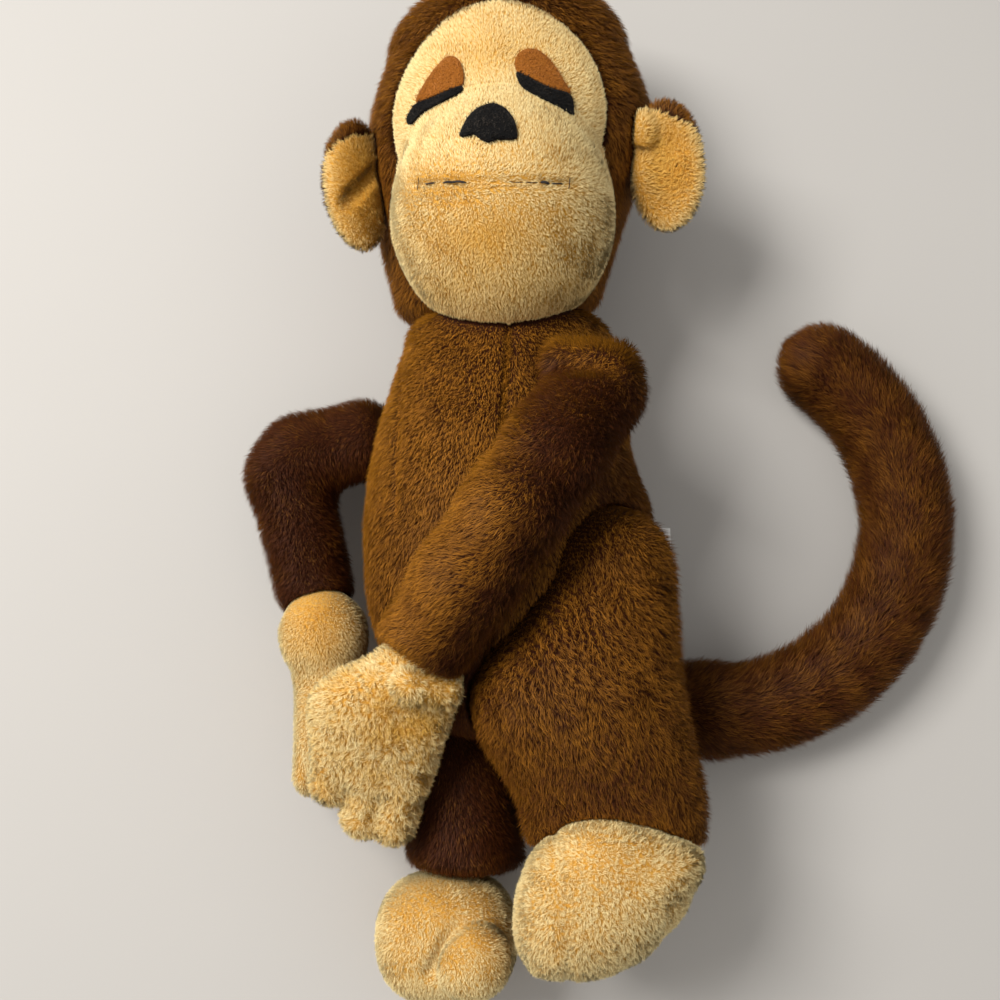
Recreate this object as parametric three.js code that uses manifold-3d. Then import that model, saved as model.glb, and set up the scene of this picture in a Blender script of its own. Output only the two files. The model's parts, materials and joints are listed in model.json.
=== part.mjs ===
// A plush monkey, lying on its back with its hands clasped and its tail curled out to one side.
// Millimetres. +Z is up, +Y runs from the seat to the crown, and +X is the monkey's left.
// The origin is on the flat of its back, where the torso rests on the table.
import * as THREE from 'three';
import { mergeVertices } from 'three/addons/utils/BufferGeometryUtils.js';
import Module from 'manifold-3d';

const wasm = await Module();
wasm.setup();

// Cloth, felt and gaps
const CLOTH = 3; // pile cloth, from its knitted back to the middle of the pile
const GAP = 0.4; // clear gap between neighbouring pieces
const BALL_GAP = 0.3; // clear gap round the round end of a limb in its seat
const SWING_GAP = 1.1; // clear gap beside a limb that swings past its neighbour
const FELT = 1.2;
const PRESS = 0.6; // how far a form is flattened where it lies on the table

// Torso: half widths and front heights at the stations from the seat to the neck
const SEAT_Y = -60;
const SEAT_WIDE = 32;
const SEAT_TALL = 58;
const SEAT_RISE = 7;
const SEAT_DOME = 13;
const HIP_Y = -38;
const HIP_WIDE = 44;
const HIP_TALL = 75;
const BELLY_Y = -8;
const BELLY_X = -2; // the torso leans a little to its right
const BELLY_WIDE = 46;
const BELLY_TALL = 81;
const CHEST_Y = 22;
const CHEST_X = -2.3;
const CHEST_WIDE = 43;
const CHEST_TALL = 80;
const SHOULDER_Y = 45;
const SHOULDER_WIDE = 39.5;
const SHOULDER_TALL = 76;
const BACK_SINK = 2.6; // the back's roundness that the table flattens
const NECK_Y = 58;
const NECK_RADIUS = 36;
const NECK_DOME = 15;
const SIDE_SEAM_Z = 34;

// Head, in its own frame: Y up to the crown and Z out of the face
const HEAD_RISE = 66; // from the neck station to the head's middle
const HEAD_X = -1;
const HEAD_TILT = 8; // degrees, chin towards the chest
const HEAD_TURN = -6;
const HEAD_ROLL = 3;
const HEAD_BACK = 46;
const JAW_Y = -48;
const JAW_X = -6.5; // the hood's lower end is sewn on askew
const JAW_WIDE = 36.5;
const JAW_FRONT = 20;
const JAW_DOME = 12;
const CHEEK_Y = -24;
const CHEEK_X = -3.5;
const CHEEK_WIDE = 43;
const CHEEK_FRONT = 31;
const BROW_Y = 6;
const BROW_X = 1;
const BROW_WIDE = 49;
const BROW_FRONT = 37;
const CROWN_Y = 33;
const CROWN_X = 1.5;
const CROWN_WIDE = 42;
const CROWN_FRONT = 30;
const CROWN_DOME = 27;
const FACE_Y = 4;
const FACE_WIDE = 34.5;
const FACE_TALL = 35;
const MUZZLE_Y = -29;
const MUZZLE_Z = 25;
const MUZZLE_WIDE = 36;
const MUZZLE_TALL = 38.5;
const MUZZLE_DEEP = 36;
const MOUTH_Y = -28;
const MOUTH_WIDE = 24;
const MOUTH_THREAD = 0.8;
const NOSE_Y = -10;
const NOSE_WIDE = 8.2;
const NOSE_TALL = 5.6;
const EYE_X = 17;
const EYE_Y = 14;
const EYE_LONG = 9.6;
const EYE_TALL = 6.6;
const EYE_SLANT = 32; // degrees, outer corner down
const LASH_DROP = 5.8;
const LASH_TALL = 2.6;

// Ears
const EAR_Y = -13;
const EAR_Z = 6;
const EAR_IN = 9; // from the hood's widest to the ear's hinge
const EAR_LONG = 22.5;
const EAR_WIDE = 12;
const EAR_THICK = 4.6;
const EAR_CUP = 5;
const EAR_LEFT_FOLD = 12; // degrees, forward of straight out
const EAR_RIGHT_FOLD = 48;
const EAR_SWING = 15; // degrees that an ear folds each way
const EAR_ROOT = 1; // from the hinge to the ear's inner edge
const EAR_SEAM = 1; // the seam's set-back behind the ear's middle
const EAR_HOLLOW_WIDE = 8.6;
const EAR_HOLLOW_LONG = 18;

// Arms
const ARM_RADIUS = 15.2;
const WRIST_RADIUS = 14.4;
const LEFT_WRIST_RADIUS = 15.2;
const CUFF_DOME = 3;
const ARM_PRESS = 5; // how far the crossed arm sinks into the chest
const SHOULDER_SWELL = 0.6;
const SHOULDER_OUT = 9; // from the torso's side to a shoulder's turning point
const RIGHT_SHOULDER_Y = 29;
const RIGHT_ARM_Z = 24.5;
const RIGHT_ELBOW_OUT = 24;
const RIGHT_ELBOW_DROP = 8;
const RIGHT_FOREARM = 48;
const RIGHT_FOREARM_TOE_IN = 12; // degrees towards the torso
const LEFT_SHOULDER_X = 25.5;
const LEFT_SHOULDER_Y = 32;
const LEFT_UPPER_ARM = 45;
const LEFT_FOREARM = 46;
const LEFT_ARM_BEARING = 236; // degrees, anticlockwise from +X
const ELBOW_LIFT = 50; // degrees that the left elbow opens

// Hands
const HAND_LONG = 57;
const HAND_WIDE = 21.5;
const HAND_DEEP = 12;
const FINGER_RADIUS = 7.6;
const FINGER_LONG = 18;
const HEEL_DOME = 8; // the round of the hand where it goes into the cuff
const LEFT_HAND_BEARING = 254;
const HAND_SIDE = -7.5; // the palm sits to one side of the wrist
const LEFT_HEEL_DEEP = 11.4;
const PALM_DROP = 13; // from the wrist's height down to the palm's middle
const FINGER_DROP = 19;
const KNUCKLE_DROP = 23;
const KNUCKLE_WIDE = 19.5;
const KNUCKLE_DEEP = 9;
const LEFT_HAND_DROP = 29; // from the wrist down to the finger ends
const RIGHT_PALM_WIDE = 15;
const RIGHT_PALM_DEEP = 14.5;
const RIGHT_PALM_PAST = 29.4; // from the wrist to the middle of the palm
const RIGHT_TIP_PAST = 56; // from the wrist to the finger ends' middle
const RIGHT_TIP_WIDE = 13;
const RIGHT_TIP_DEEP = 10.5;
const RIGHT_HEEL_RADIUS = 12.4;
const HEEL_IN = 6; // from the wrist to where the hand starts
const PATCH_RADIUS = 6.5;
const PATCH_THICK = 1;
const PATCH_SIDE = 8;

// Legs and feet
const HIP_BALL = 22.5;
const HIP_DROP = 2; // from the knee's height down to the hip's
const LEFT_HIP_X = 27.5;
const LEFT_HIP_Y = -22;
const KNEE_Y = -60;
const KNEE_X = 21;
const KNEE_WIDE = 32.5;
const KNEE_DEEP = 27;
const ANKLE_Y = -94;
const ANKLE_X = 32;
const ANKLE_WIDE = 29;
const ANKLE_DEEP = 21;
const ANKLE_DROP = 7;
const ANKLE_DOME = 6;
const LEFT_LEG_CLEAR = 1.2; // between the tail and the leg that lies over it
const LEFT_LEG_OUT = 25; // degrees that the left leg swings out
const RIGHT_HIP_BALL = 20;
const RIGHT_HIP_X = -21;
const RIGHT_HIP_Y = -47;
const RIGHT_LEG_Z = 22.5;
const RIGHT_LEG_WIDE = 21;
const ANKLE_TAPER = 1;
const RIGHT_ANKLE_X = -14;
const RIGHT_ANKLE_Y = -109;
const FOOT_LONG = 29.5;
const FOOT_WIDE = 23;
const FOOT_TALL = 25;
const FOOT_PAST = 20.5; // from the ankle to the middle of the foot
const FOOT_DROP = 3;
const FOOT_INSET = 3.5;
const RIGHT_FOOT_WIDE = 24;
const RIGHT_FOOT_LONG = 22;
const RIGHT_FOOT_OUT = 6;
const RIGHT_FOOT_PAST = 24;
const LEFT_FOOT_BEARING = 36;
const TOE_RADIUS = 12.5;
const TOE_SIDE = 9; // the big toe's place from the middle of the foot
const TOE_PAST = 6;
const TOE_RISE = 15.5;

// Tail
const TAIL_RADIUS = 15.5;
const TAIL_ROOT_RADIUS = 14;
const TAIL_OUT = 8;
const TAIL_Y = -60;
const TAIL_BEND_RADIUS = 66; // of the curl's arc
const TAIL_RUN = 38; // from the root to where the curl starts
const TAIL_BASE_SWEEP = 82; // degrees of the curl before the bend joint
const TAIL_END_SWEEP = 64;
const TAIL_START_BEARING = -3;
const TAIL_CURL = 30; // degrees that the tail's end curls further in

// Label
const LABEL_Y = -11;
const LABEL_WIDE = 10;
const LABEL_LONG = 6.5;
const LABEL_THICK = 0.8;

// Facets
const BODY_SIDES = 14;
const LIMB_SIDES = 10;
const CORE_SIDES = 6;
const ROOM_SIDES = 6;
const FINGER_SIDES = 7;
const SEAT_SIDES = 10;
const BODY_CORE_SIDES = 8;
const FLOOR_SIZE = 900;

const UP = new THREE.Vector3(0, 0, 1);
const CROWN_WAY = new THREE.Vector3(0, 1, 0); // in the head's frame
const radians = THREE.MathUtils.degToRad;
const point = (x, y, z) => new THREE.Vector3(x, y, z);
const bearing = (degrees) => point(Math.cos(radians(degrees)), Math.sin(radians(degrees)), 0);

// Solids and geometries
function toSolid(geometry) {
  const bare = geometry.clone();
  bare.deleteAttribute('normal');
  bare.deleteAttribute('uv');
  const merged = mergeVertices(bare, 1e-4);
  const vertProperties = new Float32Array(merged.attributes.position.array);
  const triVerts = new Uint32Array(merged.index.array);
  return new wasm.Manifold(new wasm.Mesh({ numProp: 3, vertProperties, triVerts }));
}

function toGeometry(solid) {
  const mesh = solid.getMesh();
  const geometry = new THREE.BufferGeometry();
  geometry.setAttribute('position', new THREE.BufferAttribute(mesh.vertProperties, 3));
  geometry.setIndex(new THREE.BufferAttribute(mesh.triVerts, 1));
  geometry.computeVertexNormals();
  return geometry;
}

// A cut can leave crumbs, and a piece of cloth is its main part
function mainPart(solid) {
  const parts = solid.decompose();
  return parts.reduce((most, part) => (part.volume() > most.volume() ? part : most), parts[0]);
}

const join = (solids) => solids.reduce((whole, solid) => whole.add(solid));
const cutBy = (solid, cutters) => cutters.reduce((left, cutter) => left.subtract(cutter), solid);

function box(low, high) {
  const size = high.clone().sub(low);
  const geometry = new THREE.BoxGeometry(size.x, size.y, size.z);
  const middle = low.clone().add(high).multiplyScalar(0.5);
  return toSolid(geometry.translate(middle.x, middle.y, middle.z));
}

function ball(centre, radius, sides = LIMB_SIDES) {
  const geometry = new THREE.SphereGeometry(radius, sides, sides / 2);
  return toSolid(geometry.translate(centre.x, centre.y, centre.z));
}

const pathOf = (stations) =>
  new THREE.CatmullRomCurve3(stations.map((s) => s.at), false, 'centripetal');

// The seat of a limb's round end, wide enough that its facets clear the limb as it turns. One facet
// faces the tip of the round end.
function seatOf(stations) {
  const { at, wide } = stations[0];
  const way = pathOf(stations).getTangent(0);
  const facet = Math.cos(Math.PI / SEAT_SIDES) ** 2;
  const geometry = new THREE.SphereGeometry((wide + BALL_GAP) / facet, SEAT_SIDES, SEAT_SIDES / 2);
  geometry.rotateX(Math.PI / 2).rotateZ(Math.atan2(way.y, way.x) + Math.PI / SEAT_SIDES);
  return toSolid(geometry.translate(at.x, at.y, at.z));
}

function egg(centre, radii, sides, turn = 0) {
  const geometry = new THREE.SphereGeometry(1, sides, Math.round(sides / 2));
  geometry.scale(radii.x, radii.y, radii.z).rotateZ(turn);
  return toSolid(geometry.translate(centre.x, centre.y, centre.z));
}

const half = FLOOR_SIZE / 2;
const table = box(point(-half, -half, -half), point(half, half, 0));
const onTable = (solid) => solid.subtract(table);

// A turned copy of a solid, about an axis through a point
function turned(solid, pivot, axis, degrees) {
  const there = new THREE.Matrix4().makeTranslation(pivot.x, pivot.y, pivot.z);
  const spin = new THREE.Matrix4().makeRotationAxis(axis, radians(degrees));
  const back = new THREE.Matrix4().makeTranslation(-pivot.x, -pivot.y, -pivot.z);
  return solid.transform(there.multiply(spin).multiply(back).elements);
}

// The room that a limb takes as it turns from rest to its limit
function swept(solid, pivot, axis, degrees, steps) {
  const places = [];
  for (let i = 0; i <= steps; i += 1) places.push(turned(solid, pivot, axis, (degrees * i) / steps));
  return join(places);
}

// A swelling, tapering tube through stations { at, wide, deep }, with a round end past the first and
// the last. grow moves its skin out, and reach lengthens an end so that it opens what it is cut from.
function stuffedTube(stations, shape = {}) {
  const { grow, rings, sides, startDome, endDome, reach = 0, blunt = false } = shape;
  const path = pathOf(stations);
  const widths = new THREE.SplineCurve(stations.map((s, i) => new THREE.Vector2(i, s.wide)));
  const depths = new THREE.SplineCurve(stations.map((s, i) => new THREE.Vector2(i, s.deep)));
  const slices = [];
  const slice = (share, past, shrink) => {
    const along = path.getTangent(share);
    const across = UP.clone().cross(along).normalize();
    const out = along.clone().cross(across);
    const centre = path.getPoint(share).addScaledVector(along, past);
    const wide = (widths.getPoint(share).y + grow) * shrink;
    const deep = (depths.getPoint(share).y + grow) * shrink;
    slices.push({ centre, across, out, wide, deep, along });
  };
  const DOME_STEPS = [0.88, 0.5];
  const first = stations[0];
  const last = stations[stations.length - 1];
  const startLong = blunt ? GAP : (startDome ?? Math.min(first.wide, first.deep)) + grow + reach;
  const endLong = (endDome ?? Math.min(last.wide, last.deep)) + grow;
  const startRound = reach > 0 ? () => 1 : (s) => Math.sqrt(1 - s * s);
  DOME_STEPS.forEach((s) => slice(0, -s * startLong, startRound(s)));
  for (let i = 0; i <= rings; i += 1) slice(i / rings, 0, 1);
  [...DOME_STEPS].reverse().forEach((s) => slice(1, s * endLong, Math.sqrt(1 - s * s)));
  const points = [path.getPoint(0).addScaledVector(path.getTangent(0), -startLong)];
  slices.forEach(({ centre, across, out, wide, deep }) => {
    for (let j = 0; j < sides; j += 1) {
      const angle = (2 * Math.PI * j) / sides;
      const onSkin = centre.clone().addScaledVector(across, wide * Math.cos(angle));
      points.push(onSkin.addScaledVector(out, deep * Math.sin(angle)));
    }
  });
  points.push(path.getPoint(1).addScaledVector(path.getTangent(1), endLong));
  return ringSolid(points, slices.length, sides);
}

// A form's skin, moved out by grow: the same form gives its cloth, its filling and its neighbours' cuts
const form = (stations, shape) => (grow, sides = LIMB_SIDES, more = {}) =>
  stuffedTube(stations, { ...shape, ...more, grow, sides });

// The room that a limb needs beside it, past its round end, in few facets that all clear it
function roomFor(skin, radius) {
  const facet = radius * (1 / Math.cos(Math.PI / ROOM_SIDES) - 1);
  return skin(SWING_GAP + facet, ROOM_SIDES, { blunt: true });
}

// A closed skin over rings of points, with the first and the last point as its poles
function ringSolid(points, ringCount, sides) {
  const index = [];
  const at = (ring, j) => 1 + ring * sides + (j % sides);
  const end = points.length - 1;
  for (let j = 0; j < sides; j += 1) {
    index.push(0, at(0, j + 1), at(0, j));
    for (let ring = 0; ring < ringCount - 1; ring += 1) {
      index.push(at(ring, j), at(ring, j + 1), at(ring + 1, j + 1));
      index.push(at(ring, j), at(ring + 1, j + 1), at(ring + 1, j));
    }
    index.push(end, at(ringCount - 1, j), at(ringCount - 1, j + 1));
  }
  const geometry = new THREE.BufferGeometry().setFromPoints(points);
  geometry.setIndex(index);
  return toSolid(geometry);
}

// A flat outline as a prism along Z
function prism(shape, low, high, curveSegments = 5) {
  const settings = { depth: high - low, bevelEnabled: false, curveSegments };
  return toSolid(new THREE.ExtrudeGeometry(shape, settings).translate(0, 0, low));
}

// Torso
function torsoStation(x, y, wide, tall, low) {
  return { at: point(x, y, (tall + low) / 2), wide, deep: (tall - low) / 2 };
}
const NECK_Z = (SHOULDER_TALL - BACK_SINK) / 2;
const torsoStations = [
  torsoStation(0, SEAT_Y, SEAT_WIDE, SEAT_TALL + SEAT_RISE, SEAT_RISE),
  torsoStation(0, HIP_Y, HIP_WIDE, HIP_TALL, -BACK_SINK),
  torsoStation(BELLY_X, BELLY_Y, BELLY_WIDE, BELLY_TALL, -BACK_SINK),
  torsoStation(CHEST_X, CHEST_Y, CHEST_WIDE, CHEST_TALL, -BACK_SINK),
  torsoStation(0, SHOULDER_Y, SHOULDER_WIDE, SHOULDER_TALL, -BACK_SINK),
  { at: point(0, NECK_Y, NECK_Z), wide: NECK_RADIUS, deep: NECK_RADIUS },
];
const torsoSkin = form(torsoStations, { rings: 7, startDome: SEAT_DOME, endDome: NECK_DOME });

// The torso's section at a height up the body: its middle, half width and half depth
function torsoSection(y) {
  const next = Math.max(1, torsoStations.findIndex((s) => s.at.y >= y));
  const [a, b] = [torsoStations[next - 1], torsoStations[next]];
  const t = (y - a.at.y) / (b.at.y - a.at.y);
  const mix = THREE.MathUtils.lerp;
  const middle = a.at.clone().lerp(b.at, t);
  return { middle, wide: mix(a.wide, b.wide, t), deep: mix(a.deep, b.deep, t) };
}
const roundness = (share) => Math.sqrt(Math.max(0, 1 - share * share));
function chestHeight(x, y) {
  const { middle, wide, deep } = torsoSection(y);
  return middle.z + deep * roundness((x - middle.x) / wide);
}
// The torso's skin at a height up the body and above the table, on its left (1) or right (-1) side
function torsoSide(side, y, height) {
  const { middle, wide, deep } = torsoSection(y);
  return middle.x + side * wide * roundness((height - middle.z) / deep);
}

// The neck's round top, turned about the neck's axis, which the head's seat clears
function neckSeat() {
  const rim = NECK_RADIUS + BALL_GAP;
  const top = NECK_Y + NECK_DOME + BALL_GAP;
  const skirt = NECK_Y - NECK_DOME;
  const steps = 5;
  const profile = [new THREE.Vector2(0, skirt), new THREE.Vector2(rim, skirt)];
  for (let i = 0; i < steps; i += 1) {
    const angle = (Math.PI / 2) * (i / steps);
    const rise = (top - NECK_Y) * Math.sin(angle);
    profile.push(new THREE.Vector2(rim * Math.cos(angle), NECK_Y + rise));
  }
  profile.push(new THREE.Vector2(0, top));
  const geometry = new THREE.LatheGeometry(profile, BODY_SIDES);
  const facet = 1 / Math.cos(Math.PI / BODY_SIDES);
  geometry.scale(facet, 1, facet).translate(0, 0, NECK_Z);
  return toSolid(geometry);
}

// Tail: a straight run out from the seat, then an arc that curls towards the head
const tailZ = TAIL_RADIUS - PRESS;
const tailRoot = point(torsoSide(1, TAIL_Y, tailZ) + TAIL_OUT, TAIL_Y, tailZ);
const runWay = bearing(TAIL_START_BEARING);
const curlStart = tailRoot.clone().addScaledVector(runWay, TAIL_RUN);
const curlCentre = curlStart.clone().addScaledVector(bearing(TAIL_START_BEARING + 90), TAIL_BEND_RADIUS);
function onCurl(degrees) {
  const way = bearing(TAIL_START_BEARING - 90 + degrees);
  return curlCentre.clone().addScaledVector(way, TAIL_BEND_RADIUS);
}
function curlStations(from, to, steps, radius) {
  const stations = [];
  for (let i = 0; i <= steps; i += 1) {
    stations.push({ at: onCurl(from + ((to - from) * i) / steps), wide: radius, deep: radius });
  }
  return stations;
}
const tailBend = onCurl(TAIL_BASE_SWEEP);
const tailBaseStations = [
  { at: tailRoot, wide: TAIL_ROOT_RADIUS, deep: TAIL_ROOT_RADIUS },
  ...curlStations(0, TAIL_BASE_SWEEP, 3, TAIL_RADIUS),
];
const tailEndStations = curlStations(TAIL_BASE_SWEEP, TAIL_BASE_SWEEP + TAIL_END_SWEEP, 4, TAIL_RADIUS);
const tailBaseSkin = form(tailBaseStations, { rings: 8, endDome: GAP });
const tailEndSkin = form(tailEndStations, { rings: 6 });

// Legs
const leftLegZ = tailZ + TAIL_RADIUS + LEFT_LEG_CLEAR + KNEE_DEEP;
const leftHip = point(LEFT_HIP_X, LEFT_HIP_Y, leftLegZ - HIP_DROP);
const leftLegStations = [
  { at: leftHip, wide: HIP_BALL, deep: HIP_BALL },
  { at: point(KNEE_X, KNEE_Y, leftLegZ), wide: KNEE_WIDE, deep: KNEE_DEEP },
  { at: point(ANKLE_X, ANKLE_Y, leftLegZ - ANKLE_DROP), wide: ANKLE_WIDE, deep: ANKLE_DEEP },
];
const leftLegSkin = form(leftLegStations, { rings: 5, endDome: ANKLE_DOME });
const rightHip = point(RIGHT_HIP_X, RIGHT_HIP_Y, RIGHT_LEG_Z);
const rightAnkle = point(RIGHT_ANKLE_X, RIGHT_ANKLE_Y, RIGHT_LEG_Z);
const rightLegStations = [
  { at: rightHip, wide: RIGHT_HIP_BALL, deep: RIGHT_HIP_BALL },
  { at: rightHip.clone().lerp(rightAnkle, 0.5), wide: RIGHT_LEG_WIDE, deep: RIGHT_LEG_Z },
  { at: rightAnkle, wide: RIGHT_LEG_WIDE - ANKLE_TAPER, deep: RIGHT_LEG_Z - ANKLE_TAPER },
];
const rightLegSkin = form(rightLegStations, { rings: 3, endDome: ANKLE_DOME });

// Feet: a round pad past the ankle, the right one with its big toe
const leftFootCentre = point(ANKLE_X - FOOT_INSET, ANKLE_Y - FOOT_PAST, leftLegZ - FOOT_DROP);
const leftFootRadii = point(FOOT_LONG, FOOT_WIDE, FOOT_TALL);
const leftFootSkin = (grow, sides = LIMB_SIDES) =>
  egg(leftFootCentre, leftFootRadii.clone().addScalar(grow), sides, radians(LEFT_FOOT_BEARING));
const rightFootCentre = point(
  RIGHT_ANKLE_X - RIGHT_FOOT_OUT,
  RIGHT_ANKLE_Y - RIGHT_FOOT_PAST,
  FOOT_TALL - PRESS,
);
const rightFootRadii = point(RIGHT_FOOT_WIDE, RIGHT_FOOT_LONG, FOOT_TALL);
const toeCentre = rightFootCentre.clone().add(point(TOE_SIDE, -TOE_PAST, TOE_RISE));
const rightPadSkin = (grow, sides = LIMB_SIDES) =>
  egg(rightFootCentre, rightFootRadii.clone().addScalar(grow), sides);
const rightFootSkin = (grow, sides) =>
  rightPadSkin(grow, sides).add(ball(toeCentre, TOE_RADIUS + grow));

// Right arm: out from the torso's side, then bent down beside the body
const rightSide = torsoSide(-1, RIGHT_SHOULDER_Y, RIGHT_ARM_Z);
const rightShoulder = point(rightSide - SHOULDER_OUT, RIGHT_SHOULDER_Y, RIGHT_ARM_Z);
const rightElbow = rightShoulder.clone().add(point(-RIGHT_ELBOW_OUT, -RIGHT_ELBOW_DROP, 0));
const rightWay = bearing(-90 + RIGHT_FOREARM_TOE_IN);
const rightWrist = rightElbow.clone().addScaledVector(rightWay, RIGHT_FOREARM);
const round = (at, radius) => ({ at, wide: radius, deep: radius });
const rightUpperStations = [round(rightShoulder, ARM_RADIUS), round(rightElbow, ARM_RADIUS)];
const rightForeStations = [round(rightElbow, ARM_RADIUS), round(rightWrist, WRIST_RADIUS)];
const rightUpperSkin = form(rightUpperStations, { rings: 2, endDome: GAP });
const rightForeSkin = form(rightForeStations, { rings: 3, endDome: CUFF_DOME });

// Right hand: an oval mitten that carries on from the forearm
const rightHandStations = [
  round(rightWrist.clone().addScaledVector(rightWay, HEEL_IN), RIGHT_HEEL_RADIUS),
  {
    at: rightWrist.clone().addScaledVector(rightWay, RIGHT_PALM_PAST),
    wide: RIGHT_PALM_WIDE,
    deep: RIGHT_PALM_DEEP,
  },
  {
    at: rightWrist.clone().addScaledVector(rightWay, RIGHT_TIP_PAST),
    wide: RIGHT_TIP_WIDE,
    deep: RIGHT_TIP_DEEP,
  },
];
const rightHandSkin = form(rightHandStations, { rings: 4, startDome: HEEL_DOME });

// Left arm: across the chest, pressed a little into it
const leftWay = bearing(LEFT_ARM_BEARING);
function acrossChest(along) {
  const x = LEFT_SHOULDER_X + leftWay.x * along;
  const y = LEFT_SHOULDER_Y + leftWay.y * along;
  return point(x, y, chestHeight(x, y) + ARM_RADIUS - ARM_PRESS);
}
const leftShoulder = acrossChest(0);
const leftElbow = acrossChest(LEFT_UPPER_ARM);
const leftWrist = acrossChest(LEFT_UPPER_ARM + LEFT_FOREARM);
const leftUpperStations = [
  round(leftShoulder, ARM_RADIUS + SHOULDER_SWELL),
  round(acrossChest(LEFT_UPPER_ARM / 2), ARM_RADIUS),
  round(leftElbow, ARM_RADIUS),
];
const leftForeStations = [
  round(leftElbow, ARM_RADIUS),
  round(acrossChest(LEFT_UPPER_ARM + LEFT_FOREARM / 2), ARM_RADIUS),
  round(leftWrist, LEFT_WRIST_RADIUS),
];
const leftUpperSkin = form(leftUpperStations, { rings: 3, endDome: GAP });
const leftForeSkin = form(leftForeStations, { rings: 3, endDome: CUFF_DOME });
const elbowAxis = UP.clone().cross(leftElbow.clone().sub(leftWrist)).normalize();

// Left hand: a broad mitten with three sewn fingers, sloping down over the right hand
const leftHandWay = bearing(LEFT_HAND_BEARING);
const acrossHand = bearing(LEFT_HAND_BEARING + 90);
function onHand(along, across, drop) {
  const place = leftWrist.clone().addScaledVector(leftHandWay, along);
  return place.addScaledVector(acrossHand, across).add(point(0, 0, -drop));
}
const PALM_END = HAND_LONG - FINGER_LONG;
const leftPalmStations = [
  { at: onHand(HEEL_IN, 0, HEEL_IN), wide: WRIST_RADIUS, deep: LEFT_HEEL_DEEP },
  { at: onHand(PALM_END / 2, HAND_SIDE, PALM_DROP), wide: HAND_WIDE, deep: HAND_DEEP },
  { at: onHand(PALM_END, HAND_SIDE, KNUCKLE_DROP), wide: KNUCKLE_WIDE, deep: KNUCKLE_DEEP },
];
const leftPalmSkin = form(leftPalmStations, { rings: 3, startDome: HEEL_DOME, endDome: HEEL_DOME });
// Finger ends: how far along and across the hand each one reaches
const FINGERS = [
  { across: -11, reach: 0 },
  { across: 0, reach: 4 },
  { across: 11, reach: 2 },
];
function fingerSkin({ across, reach }, grow) {
  const stations = [
    round(onHand(PALM_END - FINGER_RADIUS, HAND_SIDE + across, FINGER_DROP), FINGER_RADIUS),
    round(onHand(HAND_LONG - FINGER_RADIUS + reach, HAND_SIDE + across, LEFT_HAND_DROP), FINGER_RADIUS),
  ];
  return form(stations, { rings: 1 })(grow, FINGER_SIDES);
}
const leftHandSkin = (grow, sides) =>
  join([leftPalmSkin(grow, sides), ...FINGERS.map((finger) => fingerSkin(finger, grow))]);

// Head forms, in the head's own frame
function headStation(x, y, wide, front) {
  return { at: point(x, y, (front - HEAD_BACK) / 2), wide, deep: (front + HEAD_BACK) / 2 };
}
const headStations = [
  headStation(JAW_X, JAW_Y, JAW_WIDE, JAW_FRONT),
  headStation(CHEEK_X, CHEEK_Y, CHEEK_WIDE, CHEEK_FRONT),
  headStation(BROW_X, BROW_Y, BROW_WIDE, BROW_FRONT),
  headStation(CROWN_X, CROWN_Y, CROWN_WIDE, CROWN_FRONT),
];
const headSkin = form(headStations, { rings: 5, startDome: JAW_DOME, endDome: CROWN_DOME });
const muzzleCentre = point(0, MUZZLE_Y, MUZZLE_Z);
const muzzleRadii = point(MUZZLE_WIDE, MUZZLE_TALL, MUZZLE_DEEP);
const muzzleSkin = (grow, sides = BODY_SIDES) =>
  egg(muzzleCentre, muzzleRadii.clone().addScalar(grow), sides);

function facePrism(grow) {
  const outline = new THREE.Shape();
  outline.absellipse(0, FACE_Y, FACE_WIDE + grow, FACE_TALL + grow, 0, 2 * Math.PI);
  return prism(outline, 0, 3 * BROW_FRONT, 10);
}

// A layer of felt or thread that follows a skin
const layerOn = (skin, thick, sides) => skin(GAP + thick, sides).subtract(skin(GAP, sides));

function noseFelt() {
  const outline = new THREE.Shape();
  const [w, t] = [NOSE_WIDE, NOSE_TALL];
  outline.moveTo(-w, NOSE_Y - t * 0.55);
  outline.bezierCurveTo(-w * 0.75, NOSE_Y + t * 0.6, -w * 0.3, NOSE_Y + t, 0, NOSE_Y + t);
  outline.bezierCurveTo(w * 0.3, NOSE_Y + t, w * 0.75, NOSE_Y + t * 0.6, w, NOSE_Y - t * 0.55);
  outline.quadraticCurveTo(w * 0.5, NOSE_Y - t * 0.7, 0, NOSE_Y - t);
  outline.quadraticCurveTo(-w * 0.5, NOSE_Y - t * 0.7, -w, NOSE_Y - t * 0.55);
  const post = prism(outline, MUZZLE_Z, MUZZLE_Z + 2 * MUZZLE_DEEP, 4);
  return layerOn(muzzleSkin, FELT, BODY_SIDES).intersect(post);
}

// Eyelid: a drop of felt, its outer corner low; the lash is a strip under it
function eyeOutline(side, drop, tall) {
  const outline = new THREE.Shape();
  const slant = -side * radians(EYE_SLANT);
  const place = (u, v) => {
    const x = side * EYE_X + side * u * Math.cos(slant) - v * Math.sin(slant);
    const y = EYE_Y + side * u * Math.sin(slant) + v * Math.cos(slant) - drop;
    return [x, y];
  };
  outline.moveTo(...place(-EYE_LONG, -tall * 0.4));
  const corner = place(EYE_LONG, -tall * 0.3);
  outline.bezierCurveTo(...place(-EYE_LONG, tall), ...place(EYE_LONG * 0.1, tall), ...corner);
  outline.quadraticCurveTo(...place(EYE_LONG * 0.9, -tall * 0.6), ...place(EYE_LONG * 0.5, -tall * 0.6));
  outline.lineTo(...place(-EYE_LONG, -tall * 0.4));
  return outline;
}
function eyelidFelt(side) {
  const post = prism(eyeOutline(side, 0, EYE_TALL), 0, 2 * BROW_FRONT, 4);
  const layer = layerOn(headSkin, FELT, BODY_SIDES).intersect(post);
  return mainPart(layer.subtract(muzzleSkin(GAP)));
}
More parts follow.
